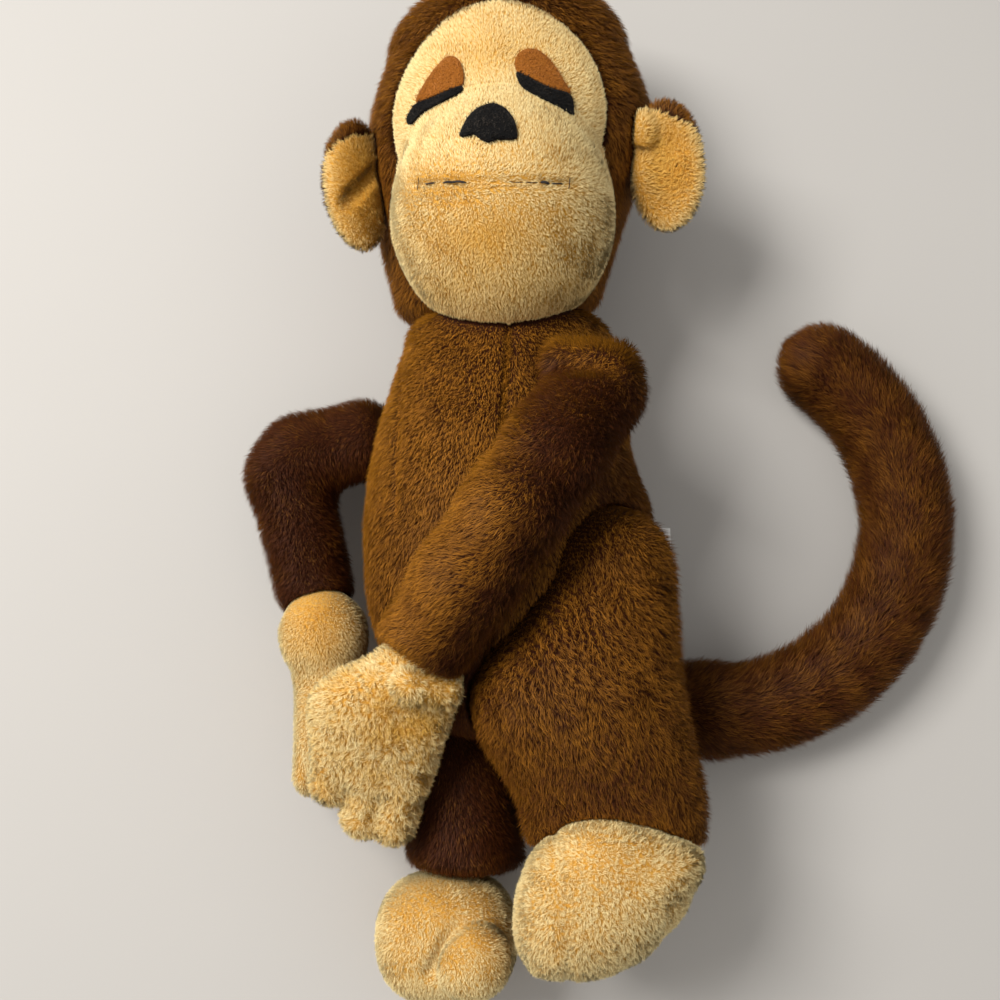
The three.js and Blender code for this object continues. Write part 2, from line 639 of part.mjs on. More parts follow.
function lashFelt(side) {
  const strip = prism(eyeOutline(side, LASH_DROP, LASH_TALL), 0, 2 * BROW_FRONT, 4);
  const clear = prism(eyeOutline(side, 0, EYE_TALL + GAP), 0, 2 * BROW_FRONT, 4);
  const onFace = join([headSkin, muzzleSkin].map((skin) => skin(GAP + FELT, BODY_SIDES)));
  const under = join([headSkin, muzzleSkin].map((skin) => skin(GAP, BODY_SIDES)));
  return mainPart(onFace.subtract(under).intersect(strip).subtract(clear));
}

function mouthThread() {
  const low = point(-MOUTH_WIDE, MOUTH_Y - MOUTH_THREAD / 2, MUZZLE_Z);
  const high = point(MOUTH_WIDE, MOUTH_Y + MOUTH_THREAD / 2, MUZZLE_Z + 2 * MUZZLE_DEEP);
  return mainPart(layerOn(muzzleSkin, MOUTH_THREAD, BODY_SIDES).intersect(box(low, high)));
}

// Materials
const cloth = (color) => new THREE.MeshStandardMaterial({ color, roughness: 0.95, metalness: 0 });
const BROWN = cloth(0x5f3512);
const CREAM = cloth(0xe2c283);
const TAN_FELT = cloth(0x96551c);
const BLACK_FELT = cloth(0x1b1a1c);
const WHITE_FILL = cloth(0xf0efe8);
const GREY_THREAD = cloth(0x4a4238);
const WHITE_SATIN = cloth(0xeeeae4);
const PATCH_NYLON = cloth(0xd8cfb6);

// The scene graph: a group for each body, at its joint
const monkey = new THREE.Group();
function bodyGroup(parent, pivot) {
  const group = new THREE.Group();
  parent.add(group);
  group.position.copy(parent.worldToLocal(pivot.clone()));
  monkey.updateMatrixWorld(true);
  return group;
}
function addPiece(group, name, solid, material) {
  const geometry = toGeometry(solid).applyMatrix4(group.matrixWorld.clone().invert());
  const mesh = new THREE.Mesh(geometry, material);
  mesh.name = name;
  group.add(mesh);
  return mesh;
}

// Head: built in its own frame, then set on the neck
const headPivot = point(0, NECK_Y, NECK_Z);
const headFrame = new THREE.Matrix4()
  .makeRotationFromEuler(new THREE.Euler(radians(HEAD_TILT), radians(HEAD_TURN), radians(HEAD_ROLL)))
  .setPosition(HEAD_X, NECK_Y + HEAD_RISE, HEAD_BACK - PRESS);
const onNeck = (solid) => onTable(solid.transform(headFrame.elements));
const head = bodyGroup(monkey, headPivot);
const neckRoom = neckSeat();
const headHollow = headSkin(-CLOTH, BODY_CORE_SIDES);
const muzzleHollow = muzzleSkin(-CLOTH, BODY_CORE_SIDES);
const headCloth = headSkin(0, BODY_SIDES).subtract(headHollow);
const hood = cutBy(headCloth, [facePrism(0), muzzleSkin(GAP)]);
[[-1, 'right'], [1, 'left']].forEach(([side, name]) => {
  const near = side * GAP * 0.5;
  const far = side * 3 * BROW_WIDE;
  const low = point(Math.min(near, far), -3 * HEAD_RISE, -3 * HEAD_BACK);
  const high = point(Math.max(near, far), 3 * HEAD_RISE, 3 * HEAD_BACK);
  const panel = onNeck(hood.intersect(box(low, high))).subtract(neckRoom);
  addPiece(head, `hood_${name}`, mainPart(panel), BROWN);
});
const facePanel = cutBy(headCloth.intersect(facePrism(-GAP)), [muzzleSkin(GAP)]);
addPiece(head, 'face_panel', mainPart(onNeck(facePanel)), CREAM);
const muzzleCloth = cutBy(muzzleSkin(0), [muzzleHollow, headHollow]);
const wide = 3 * BROW_WIDE;
const upperMuzzle = box(point(-wide, MOUTH_Y + GAP / 2, -wide), point(wide, wide, wide));
const lowerMuzzle = box(point(-wide, -wide, -wide), point(wide, MOUTH_Y - GAP / 2, wide));
addPiece(head, 'muzzle_upper', mainPart(onNeck(muzzleCloth.intersect(upperMuzzle))), CREAM);
const chestRoom = torsoSkin(SWING_GAP, BODY_SIDES);
const chin = cutBy(onNeck(muzzleCloth.intersect(lowerMuzzle)), [neckRoom, chestRoom]);
addPiece(head, 'muzzle_chin', mainPart(chin), CREAM);
const headCore = join([headSkin, muzzleSkin].map((skin) => skin(-CLOTH - GAP, BODY_CORE_SIDES)));
addPiece(head, 'head_stuffing', mainPart(onNeck(headCore).subtract(neckRoom)), WHITE_FILL);
addPiece(head, 'nose', mainPart(onNeck(noseFelt())), BLACK_FELT);
addPiece(head, 'mouth_thread', mainPart(onNeck(mouthThread())), GREY_THREAD);
[[-1, 'right'], [1, 'left']].forEach(([side, name]) => {
  addPiece(head, `eyelid_${name}`, mainPart(onNeck(eyelidFelt(side))), TAN_FELT);
  addPiece(head, `eyelash_${name}`, mainPart(onNeck(lashFelt(side))), BLACK_FELT);
});

// Ears: two cupped layers of cloth, hinged along the hood's side
[[-1, 'right', EAR_RIGHT_FOLD], [1, 'left', EAR_LEFT_FOLD]].forEach(([side, name, fold]) => {
  const hinge = point(side * (BROW_WIDE - EAR_IN), EAR_Y, EAR_Z);
  const frame = headFrame.clone().multiply(new THREE.Matrix4().makeTranslation(hinge.x, hinge.y, hinge.z));
  frame.multiply(new THREE.Matrix4().makeRotationY(-side * radians(fold)));
  const middle = side * (EAR_WIDE + EAR_ROOT);
  const disc = egg(point(middle, 0, 0), point(EAR_WIDE, EAR_LONG, EAR_THICK), LIMB_SIDES);
  const hollow = point(EAR_HOLLOW_WIDE, EAR_HOLLOW_LONG, EAR_CUP);
  const cup = egg(point(middle, 0, EAR_THICK + EAR_ROOT), hollow, CORE_SIDES);
  const cupped = disc.subtract(cup);
  const frontHalf = box(point(-wide, -wide, GAP / 2 - EAR_SEAM), point(wide, wide, wide));
  const backHalf = box(point(-wide, -wide, -wide), point(wide, wide, -GAP / 2 - EAR_SEAM));
  const pivot = hinge.clone().applyMatrix4(headFrame);
  const ear = bodyGroup(head, pivot);
  const hoodRoom = turned(headSkin(BALL_GAP, BODY_SIDES), hinge, CROWN_WAY, EAR_SWING);
  const clear = swept(hoodRoom, hinge, CROWN_WAY, -2 * EAR_SWING, 2).transform(headFrame.elements);
  const layer = (halfBox) => mainPart(cupped.intersect(halfBox).transform(frame.elements).subtract(clear));
  addPiece(ear, `ear_${name}_front`, layer(frontHalf), CREAM);
  addPiece(ear, `ear_${name}_back`, layer(backHalf), BROWN);
});

// Torso: two front panels and a back panel round the filling, seated for each limb
const limbSeats = [
  seatOf(rightUpperStations),
  seatOf(leftLegStations),
  swept(roomFor(leftLegSkin, KNEE_WIDE), leftHip, UP, LEFT_LEG_OUT, 1),
  seatOf(rightLegStations),
  roomFor(rightLegSkin, RIGHT_LEG_WIDE),
  seatOf(tailBaseStations),
  roomFor(tailBaseSkin, TAIL_RADIUS),
];
const armGrooves = [
  seatOf(leftUpperStations),
  leftUpperSkin(GAP),
  leftForeSkin(GAP),
  leftPalmSkin(GAP),
];
const torsoTube = torsoSkin(0, BODY_SIDES).subtract(torsoSkin(-CLOTH, BODY_CORE_SIDES));
const torsoCloth = cutBy(torsoTube, [...limbSeats, ...armGrooves]);
const panel = (low, high) => mainPart(onTable(torsoCloth.intersect(box(low, high))));
const seam = GAP / 2;
addPiece(
  monkey,
  'torso_front_right',
  panel(point(-wide, -wide, SIDE_SEAM_Z + seam), point(-seam, wide, wide)),
  BROWN,
);
addPiece(
  monkey,
  'torso_front_left',
  panel(point(seam, -wide, SIDE_SEAM_Z + seam), point(wide, wide, wide)),
  BROWN,
);
addPiece(
  monkey,
  'torso_back',
  panel(point(-wide, -wide, -wide), point(wide, wide, SIDE_SEAM_Z - seam)),
  BROWN,
);
const torsoCore = cutBy(torsoSkin(-CLOTH - GAP, BODY_CORE_SIDES), [...limbSeats, ...armGrooves]);
addPiece(monkey, 'torso_stuffing', mainPart(onTable(torsoCore)), WHITE_FILL);

// Side label: a blank folded tab in the left side seam
const labelX = torsoSide(1, LABEL_Y, SIDE_SEAM_Z);
const label = box(
  point(labelX - CLOTH, LABEL_Y, SIDE_SEAM_Z - LABEL_THICK / 2),
  point(labelX + LABEL_LONG, LABEL_Y + LABEL_WIDE, SIDE_SEAM_Z + LABEL_THICK / 2),
);
const labelClear = cutBy(label, [torsoSkin(GAP, BODY_SIDES), leftLegSkin(SWING_GAP)]);
addPiece(monkey, 'side_label', mainPart(labelClear), WHITE_SATIN);

// A limb's cloth, open where it is sewn on, and the filling inside it
function addLimb(group, name, skin, cutters) {
  const tube = skin(0).subtract(skin(-CLOTH, CORE_SIDES, { reach: 3 * CLOTH }));
  addPiece(group, name, mainPart(onTable(cutBy(tube, cutters))), BROWN);
  const core = cutBy(skin(-CLOTH - GAP, CORE_SIDES), cutters);
  addPiece(group, `${name}_stuffing`, mainPart(onTable(core)), WHITE_FILL);
}

// A hand or foot: two panels split by a plane, and the filling inside them
function addMitten(group, names, skin, coreSkin, split, cutters) {
  const shell = cutBy(skin(0).subtract(coreSkin(-CLOTH, CORE_SIDES)), cutters);
  names.panels.forEach((name, i) => {
    addPiece(group, name, mainPart(onTable(shell.intersect(split[i]))), CREAM);
  });
  const core = cutBy(coreSkin(-CLOTH - GAP, CORE_SIDES), cutters);
  addPiece(group, names.stuffing, mainPart(onTable(core)), WHITE_FILL);
}

// The two sides of a plane, a seam's gap apart
function bothSides(through, normal) {
  const turn = new THREE.Quaternion().setFromUnitVectors(UP, normal.clone().normalize());
  const frame = new THREE.Matrix4().makeRotationFromQuaternion(turn).setPosition(through);
  const above = box(point(-half, -half, seam), point(half, half, half));
  const below = box(point(-half, -half, -half), point(half, half, -seam));
  return [above.transform(frame.elements), below.transform(frame.elements)];
}

// Right arm
const rightUpperArm = bodyGroup(monkey, rightShoulder);
const rightElbowRoom = [roomFor(rightForeSkin, ARM_RADIUS), seatOf(rightForeStations)];
addLimb(rightUpperArm, 'right_upper_arm', rightUpperSkin, rightElbowRoom);
const rightForearm = bodyGroup(rightUpperArm, rightElbow);
addLimb(rightForearm, 'right_forearm', rightForeSkin, [rightHandSkin(GAP)]);
addMitten(
  rightForearm,
  { panels: ['right_hand_palm', 'right_hand_back'], stuffing: 'right_hand_stuffing' },
  rightHandSkin,
  rightHandSkin,
  bothSides(rightWrist, UP),
  [],
);

// Left arm
const leftUpperArm = bodyGroup(monkey, leftShoulder);
const elbowRoom = swept(roomFor(leftForeSkin, ARM_RADIUS), leftElbow, elbowAxis, ELBOW_LIFT, 2);
addLimb(leftUpperArm, 'left_upper_arm', leftUpperSkin, [elbowRoom, seatOf(leftForeStations)]);
const leftForearm = bodyGroup(leftUpperArm, leftElbow);
addLimb(leftForearm, 'left_forearm', leftForeSkin, [leftHandSkin(GAP)]);
const handSlope = point(leftHandWay.x, leftHandWay.y, -LEFT_HAND_DROP / HAND_LONG).normalize();
const handNormal = acrossHand.clone().negate().cross(handSlope);
addMitten(
  leftForearm,
  { panels: ['left_hand_back', 'left_hand_palm'], stuffing: 'left_hand_stuffing' },
  leftHandSkin,
  leftPalmSkin,
  bothSides(leftPalmStations[1].at, handNormal),
  [],
);

// Fastening patches that hold the clasped hands, one on each palm
const patchSpot = rightHandStations[1].at.clone().add(point(PATCH_SIDE, -PATCH_RADIUS, 0));
function patchPost(low, high) {
  const geometry = new THREE.CylinderGeometry(PATCH_RADIUS, PATCH_RADIUS, high - low, LIMB_SIDES);
  geometry.rotateX(Math.PI / 2).translate(patchSpot.x, patchSpot.y, (low + high) / 2);
  return toSolid(geometry);
}
const loopPatch = layerOn(rightHandSkin, PATCH_THICK).intersect(patchPost(RIGHT_ARM_Z, leftWrist.z));
addPiece(rightForearm, 'palm_loop_patch', mainPart(loopPatch), PATCH_NYLON);
const hookPatch = layerOn(leftHandSkin, PATCH_THICK).intersect(patchPost(0, leftPalmStations[2].at.z));
addPiece(leftForearm, 'palm_hook_patch', mainPart(hookPatch), PATCH_NYLON);

// Legs and feet
const rightLeg = bodyGroup(monkey, rightHip);
addLimb(rightLeg, 'right_leg', rightLegSkin, [rightFootSkin(GAP)]);
addMitten(
  rightLeg,
  { panels: ['right_foot_top', 'right_foot_sole'], stuffing: 'right_foot_stuffing' },
  rightFootSkin,
  rightPadSkin,
  bothSides(rightFootCentre, point(0, 1, 0.35)),
  [],
);
const leftLeg = bodyGroup(monkey, leftHip);
addLimb(leftLeg, 'left_leg', leftLegSkin, [leftFootSkin(GAP)]);
addMitten(
  leftLeg,
  { panels: ['left_foot_top', 'left_foot_sole'], stuffing: 'left_foot_stuffing' },
  leftFootSkin,
  leftFootSkin,
  bothSides(leftFootCentre, point(0, 0.4, 1)),
  [],
);

// Tail
const tailBase = bodyGroup(monkey, tailRoot);
const tailRoom = swept(roomFor(tailEndSkin, TAIL_RADIUS), tailBend, UP, TAIL_CURL, 1);
addLimb(tailBase, 'tail_base', tailBaseSkin, [tailRoom, seatOf(tailEndStations)]);
const tailEnd = bodyGroup(tailBase, tailBend);
addLimb(tailEnd, 'tail_end', tailEndSkin, []);

export default monkey;
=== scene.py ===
"""A plush monkey on its back: pile cloth, felt and thread sewn over the frame's stuffed forms.

Sizes are millimetres in the frame's axes: +X is the monkey's left, +Y runs to its crown and +Z is up.
They turn to metres where a mesh is made.
"""

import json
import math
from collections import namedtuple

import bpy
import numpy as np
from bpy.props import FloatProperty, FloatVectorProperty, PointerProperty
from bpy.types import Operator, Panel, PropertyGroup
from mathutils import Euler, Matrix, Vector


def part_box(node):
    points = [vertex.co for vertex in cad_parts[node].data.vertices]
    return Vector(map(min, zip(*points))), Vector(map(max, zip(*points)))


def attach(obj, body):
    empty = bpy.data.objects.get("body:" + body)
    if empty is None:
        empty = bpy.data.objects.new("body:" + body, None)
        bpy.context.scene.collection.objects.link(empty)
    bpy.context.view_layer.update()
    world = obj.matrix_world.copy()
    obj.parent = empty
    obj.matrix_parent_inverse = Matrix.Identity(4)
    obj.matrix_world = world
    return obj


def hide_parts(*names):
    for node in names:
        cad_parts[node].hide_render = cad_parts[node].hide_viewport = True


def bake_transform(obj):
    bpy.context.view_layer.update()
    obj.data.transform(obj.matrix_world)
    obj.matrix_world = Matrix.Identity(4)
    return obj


bl_info = {
    "name": "Plush Monkey",
    "version": (1, 0, 0),
    "blender": (4, 5, 0),
    "location": "3D View > Sidebar > Monkey",
    "description": "Sews pile cloth, felt and thread over a stuffed monkey's frame",
    "category": "Object",
}

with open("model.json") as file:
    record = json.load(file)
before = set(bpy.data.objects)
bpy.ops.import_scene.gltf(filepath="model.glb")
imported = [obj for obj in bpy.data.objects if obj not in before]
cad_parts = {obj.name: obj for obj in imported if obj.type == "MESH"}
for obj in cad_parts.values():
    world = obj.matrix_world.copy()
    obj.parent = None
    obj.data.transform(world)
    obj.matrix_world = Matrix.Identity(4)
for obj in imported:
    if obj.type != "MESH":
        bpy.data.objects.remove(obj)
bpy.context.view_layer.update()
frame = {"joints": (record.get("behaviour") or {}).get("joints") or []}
MM = 0.001
JOINT = {joint["name"]: np.array(joint["pos_m"]) / MM for joint in frame["joints"]}

# Cloth and clearances
CLOTH_IN = 2.5  # the brown cloth's knitted back lies this far under the frame's outer faces
CREAM_IN = 1.5  # and the cream cloth's, which has a shorter pile
SEAT_CLEAR = 1.6  # between a limb's cloth and the hollow that it sits in
CUFF_CLEAR = 0.8  # between a cuff and the hand or foot in it
PANEL_GAP = 0.5  # between two panels that meet in a seam
FACE_GAP = 0.2  # between the face and the muzzle
FLOOR_CLEAR = 0.5
SHELL_THICK = 7  # the head's panels with the filling behind them
CELL = 1.5  # spacing of the grid that a cover is drawn on
FINE_CELL = 1.1


def bearing(degrees):
    """Level direction, anticlockwise from +X."""
    angle = math.radians(degrees)
    return np.array([math.cos(angle), math.sin(angle), 0.0])


def unit_way(start, end):
    return (end - start) / np.linalg.norm(end - start)


def smooth_rows(stations):
    """Stations along Y, joined by a smooth curve through each of them."""
    rows = np.array(stations, float)
    slopes = np.gradient(rows, rows[:, 0], axis=0)
    steps = 16
    made = []
    for i in range(len(rows) - 1):
        run = rows[i + 1, 0] - rows[i, 0]
        for t in np.arange(steps) / steps:
            start = (2 * t**3 - 3 * t**2 + 1) * rows[i] + (t**3 - 2 * t**2 + t) * run * slopes[i]
            end = (3 * t**2 - 2 * t**3) * rows[i + 1] + (t**3 - t**2) * run * slopes[i + 1]
            made.append(start + end)
    made.append(rows[-1])
    return np.array(made)


# Stuffed forms along Y: stations of (y, x, z, half width, half depth), from low Y to high Y
TORSO = smooth_rows([
    (-60, 0, 36, 32, 29),
    (-38, 0, 36.2, 44, 38.8),
    (-8, -2, 39.2, 46, 41.8),
    (22, -2.3, 38.7, 43, 41.3),
    (45, 0, 36.7, 39.5, 39.3),
    (58, 0, 36.7, 36, 36),
])
SEAT_DOME = 13
NECK_DOME = 15
SIDE_SEAM_Z = 34
SIDE_SEAM_WIDE = 1.4
SIDE_SEAM_DEEP = 1.0
CENTRE_SEAM_TOP = 58  # the front's seam starts at the neck and slants to the right on its way down
CENTRE_SEAM_SLANT = 0.06
CENTRE_SEAM_WIDE = 1.1
CENTRE_SEAM_DEEP = 1.9
FLANK_FULL = 4.2  # the left flank fills out to meet the hip under it
FLANK_AT = (2, 38)
FLANK_SPREAD = (12, 17)
FLANK_FROM_X = 22
FLANK_FADE = 10
CHEST_DART_X = -33.5
CHEST_DART_END_Y = -8
CHEST_DART_WIDE = 0.9
CHEST_DART_DEEP = 1.0

# The head is in its own frame, +Z out of the face
HEAD_AXES = np.array(Euler((math.radians(8), 0, 0)).to_matrix())
HEAD_AXES = HEAD_AXES @ np.array(Euler((0, math.radians(-6), 0)).to_matrix())
HEAD_AXES = HEAD_AXES @ np.array(Euler((0, 0, math.radians(3))).to_matrix())
HEAD_AT = np.array([-1.0, 124.0, 45.4])
HEAD = smooth_rows([
    (-48, -6.5, -13, 36.5, 33),
    (-24, -3.5, -7.5, 43, 38.5),
    (6, 1, -4.5, 49, 41.5),
    (33, 1.5, -8, 42, 38),
])
JAW_DOME = 12
CROWN_DOME = 27
FACE_Y = 4
FACE_RADII = np.array([33.6, 35.0])
FACE_FROM_Z = 5
MUZZLE_AT = np.array([0.0, -29.0, 25.0])
MUZZLE_RADII = np.array([36.0, 38.5, 36.0])
MOUTH_Y = -27.7
MOUTH_HALF = 24
MOUTH_ASKEW = 0.085
MOUTH_CURVE = 0.0033
MOUTH_WIDE = 1.3
MOUTH_DEEP = 1.1
LIP_BELOW = 4.4  # a faint fold runs under the right half of the mouth
LIP_WIDE = 1.2
LIP_DEEP = 0.5

# Felt, as flat outlines in front of the head
NOSE = [
    (0.4, -1.5), (-3.5, -3.0), (-6.3, -6.2), (-8.0, -10.2), (-8.6, -12.4), (-6.6, -13.0), (-4.2, -12.8),
    (-2.2, -14.8), (0.0, -15.9), (2.4, -15.2), (6.6, -15.4), (8.3, -14.0), (7.4, -8.8), (5.2, -4.6),
    (2.9, -2.4),
]
EYELID_RIGHT = [
    (-25.0, 8.5), (-20.5, 15.5), (-16.0, 20.0), (-13.5, 21.0), (-10.6, 19.2), (-9.0, 14.0), (-9.6, 9.6),
    (-15.0, 8.6), (-21.0, 7.8),
]
EYELID_LEFT = [
    (7.5, 12.8), (7.5, 17.5), (10.5, 20.2), (14.5, 19.8), (18.5, 15.5), (22.0, 9.0), (23.4, 5.6),
    (17.5, 6.8), (11.5, 10.2),
]
EYELASH_RIGHT = [
    (-9.5, 9.1), (-10.0, 6.2), (-16.0, 4.4), (-22.5, 3.0), (-26.8, 0.7), (-28.5, 3.4), (-25.3, 7.2),
    (-20.5, 7.3), (-14.5, 8.1),
]
EYELASH_LEFT = [
    (7.6, 12.0), (9.0, 6.6), (13.5, 2.6), (18.5, 0.0), (23.8, -2.4), (24.4, -0.3), (23.5, 4.9),
    (17.5, 6.3), (11.5, 9.7),
]

# Ears, in a frame at each hinge: out along the ear, up it, and out of its front
EAR_HINGE = np.array([40.0, -13.0, 6.0])
EAR_FOLD = {-1: 48, 1: 12}  # degrees forward, right and left
EAR_MIDDLE = np.array([13.0, 0.0, 0.0])
EAR_RADII = np.array([11.2, 20.4, 4.6])
EAR_CUP_AT = np.array([13.8, -2.0, 5.6])
EAR_CUP_RADII = np.array([8.4, 16.0, 5.2])
EAR_LOBE_AT = np.array([6.0, 12.0, 2.6])  # the top of the ear is pleated over the cup
EAR_LOBE_RADII = np.array([5.0, 6.5, 3.8])
# Creases: from one place to another, with the radius at each. The second folds the right ear in two lobes
EAR_PLEAT = (np.array([1.0, 6.5, 5.2]), np.array([8.6, 5.6, 2.6]), 1.5, 0.6)
EAR_CREASE = (np.array([4.0, 8.0, 5.2]), np.array([22.0, -8.0, 5.6]), 3.0, 3.6)
EAR_RIM_CURL = 0.006  # forward, for each square millimetre up or down from the middle
EAR_CLEAR = 1.2  # between an ear and the hood
EAR_SEAM = -1
EAR_SEAM_RISE = 6  # forward, over the top of the ear

# Arms
ARM_RADIUS = 15.2
WRIST_RADIUS = 14.4
RIGHT_FOREARM = 48
RIGHT_CLOTH_IN = 3.2  # the right arm is thinly filled, so its cloth lies deeper
ELBOW_SAG = np.array([-1.5, 0.0, 0.0])  # and hangs out at the elbow
ELBOW_ROUND = 5.5  # the run on each side of the elbow that its bend takes
RIGHT_BEARING = -78
RIGHT_WAY = bearing(RIGHT_BEARING)
RIGHT_SHOULDER = JOINT["right_shoulder"]
RIGHT_ELBOW = JOINT["right_elbow_bend"]
RIGHT_WRIST = RIGHT_ELBOW + RIGHT_FOREARM * RIGHT_WAY
LEFT_WAY = bearing(236)
LEFT_SHOULDER = JOINT["left_shoulder"]
LEFT_ELBOW = JOINT["left_elbow_bend"]
LEFT_SHOULDER_RADIUS = 15.8
LEFT_UPPER_RISE = (22.5, 87.9)  # along the arm from the shoulder, and height
LEFT_FORE_RISE = (68.0, 86.6)
LEFT_WRIST_RISE = (91.0, 74.9)
ARM_SOFT = 6.0  # how softly the lengths of an arm melt together
CUFF_PAST = 3  # past the wrist
SHOULDER_FOLD = (np.array([17.0, 40.5, 77.0]), np.array([30.5, 38.5, 79.0]), 10, 10)
SHOULDER_CREASE = (np.array([9.0, 38.5, 88.0]), np.array([31.0, 38.0, 94.0]), 0, 0)
SHOULDER_CREASE_DEEP = 2.2

# Hands, each in a frame at its wrist: across, along and up
HAND_SLOPE = math.atan2(29, 57)
LEFT_HAND_BEARING = 254
LEFT_HAND = smooth_rows([
    (8, 0, -2.7, 14.4, 11.4),
    (23.3, -7.5, -2.7, 21.5, 12),
    (45.2, -7.0, -2.8, 19, 9),
])
LEFT_HAND_DOME = 8
FINGER_RADIUS = 7.6
FINGERS = [(-17.0, 54.0), (-5.4, 62.0), (4.6, 61.4)]  # across, and along to the end's middle
FINGER_FROM = 36.6
FINGER_RISE = -3.0
FINGER_SOFT = 3.6
THUMB_FOLD = (np.array([-29.0, -54.0, 78.5]), np.array([-19.0, -55.5, 74.0]), 6.2, 6.2)
HOLLOW_AT = np.array([-29.0, -66.0, 75.0])
HOLLOW_WIDE = 7
HOLLOW_DEEP = 2.6
RIGHT_HAND = smooth_rows([
    (6, 0, 0, 12.4, 12.4),
    (29.4, -0.5, 0, 13.5, 14),
    (56, -5.5, 0, 14, 10.5),
])
RIGHT_HEEL_DOME = 8
RIGHT_TIP_DOME = 10.5
RIGHT_FINGER_GROOVES = (-12.4, -4.6, 3.4)
GROOVE_WIDE = 1.7
GROOVE_DEEP = 3.0
HEEL_LOBE_AT = np.array([0.5, 12.0, 4.0])  # the heel of the right hand swells up over its cuff
HEEL_LOBE_RADII = np.array([15.4, 17.0, 14.0])
HEEL_NOTCH = (np.array([-19.0, 29.5, 4.0]), np.array([-6.0, 27.0, 14.0]), 0, 0)
HEEL_NOTCH_WIDE = 3.2
HEEL_NOTCH_DEEP = 4.6

# Legs, feet and tail
LEFT_LEG = smooth_rows([
    (-100, 32, 50.6, 28.5, 20),
    (-90, 31, 52.6, 29.5, 22),
    (-60, 20, 58.6, 34, 27),
    (-20, 28.5, 56.6, 23.5, 23.5),
])
RIGHT_LEG = smooth_rows([
    (-109, -14, 22.5, 20, 21.5),
    (-78, -17.5, 22.5, 21, 22.5),
    (-47, -21, 22.5, 20, 20),
])
LEFT_HIP_DOME = 23.5
RIGHT_HIP_DOME = 20
ANKLE_DOME = 6
CUFF_CREASE = (np.array([9.0, -93.0, 74.0]), np.array([13.0, -100.0, 70.0]), 0, 0)
CUFF_CREASE_WIDE = 2.5
CUFF_CREASE_DEEP = 1.8
LEFT_FOOT_AT = np.array([28.5, -115.5, 57.6])
LEFT_FOOT = np.array([  # outline seen from above, anticlockwise from its right corner
    (57.0, -101.0), (47.0, -96.0), (37.5, -92.5), (27.0, -90.5), (16.5, -92.5), (8.0, -99.0),
    (3.0, -109.0), (0.5, -120.0), (1.0, -131.0), (5.5, -139.0), (13.0, -140.5), (21.5, -140.5),
    (33.0, -136.5), (45.0, -126.5), (54.0, -113.0), (57.5, -106.0),
])
LEFT_FOOT_DEEP = 25.0
LEFT_FOOT_TILT = 0.3  # rise of the pad towards the leg, which it stands in front of
LEFT_FOOT_SQUARE = 2.3  # 2 is an oval, and more is squarer
FOOT_SEAM_X = 15  # the pad's seam runs up near its inner side
FOOT_SEAM_SLANT = 0.1
FOOT_SEAM_WIDE = 1.6
FOOT_SEAM_DEEP = 1.0
RIGHT_FOOT_AT = np.array([-20.0, -133.0, 24.4])
RIGHT_FOOT_RADII = np.array([23.6, 21.0, 24.6])
RIGHT_FOOT_SQUARE = 2.4
TOE_AT = np.array([-11.5, -136.5, 43.0])
TOE_RADIUS = 13
TOE_CREASE = (np.array([-24.0, -139.0, 45.0]), np.array([-15.0, -124.5, 48.0]), 0, 0)
TOE_CREASE_WIDE = 2.4
TOE_CREASE_DEEP = 2.6
TAIL_ROOT = JOINT["tail_root"]
TAIL_BEND = JOINT["tail_bend"]
TAIL_ROOT_RADIUS = 14
TAIL_RADIUS = 15.5
TAIL_RUN = 38
TAIL_CURL_RADIUS = 66
TAIL_START = -3  # degrees, the bearing of the straight run
TAIL_SWEEP = 146
CURL_START = TAIL_ROOT + TAIL_RUN * bearing(TAIL_START)
CURL_AT = CURL_START + TAIL_CURL_RADIUS * bearing(TAIL_START + 90)


def linear(code):
    """Scene-linear colour of an sRGB hex value."""
    shares = [int(code[i:i + 2], 16) / 255 for i in (1, 3, 5)]
    return tuple(c / 12.92 if c <= 0.04045 else ((c + 0.055) / 1.055) ** 2.4 for c in shares)


def colour(name, description, code):
    """A colour that a user can change."""
    return FloatVectorProperty(
        name=name, description=description, default=linear(code), subtype="COLOR", min=0, max=1
    )


def length(name, description, millimetres):
    """A length that a user can change."""
    return FloatProperty(
        name=name,
        description=description,
        default=millimetres * MM,
        subtype="DISTANCE",
        unit="LENGTH",
        min=0,
    )


class MonkeyPile(PropertyGroup):
    """Sizes of the pile, the felt and the thread"""

    brown_length: length("Brown pile", "Length of the brown fibres", 3.6)
    cream_length: length("Cream pile", "Length of the cream fibres", 3.0)
    fibre_width: length("Fibre width", "Width of one lock of fibres at its root", 0.205)
    density: FloatProperty(
        name="Density",
        description="Locks of fibres on each square millimetre of cloth",
        default=8.4,
        min=0.1,
    )
    felt_thick: length("Felt", "Thickness of the felt of the nose and eyelids", 1.2)
    thread_width: length("Thread", "Diameter of the mouth's thread", 0.75)


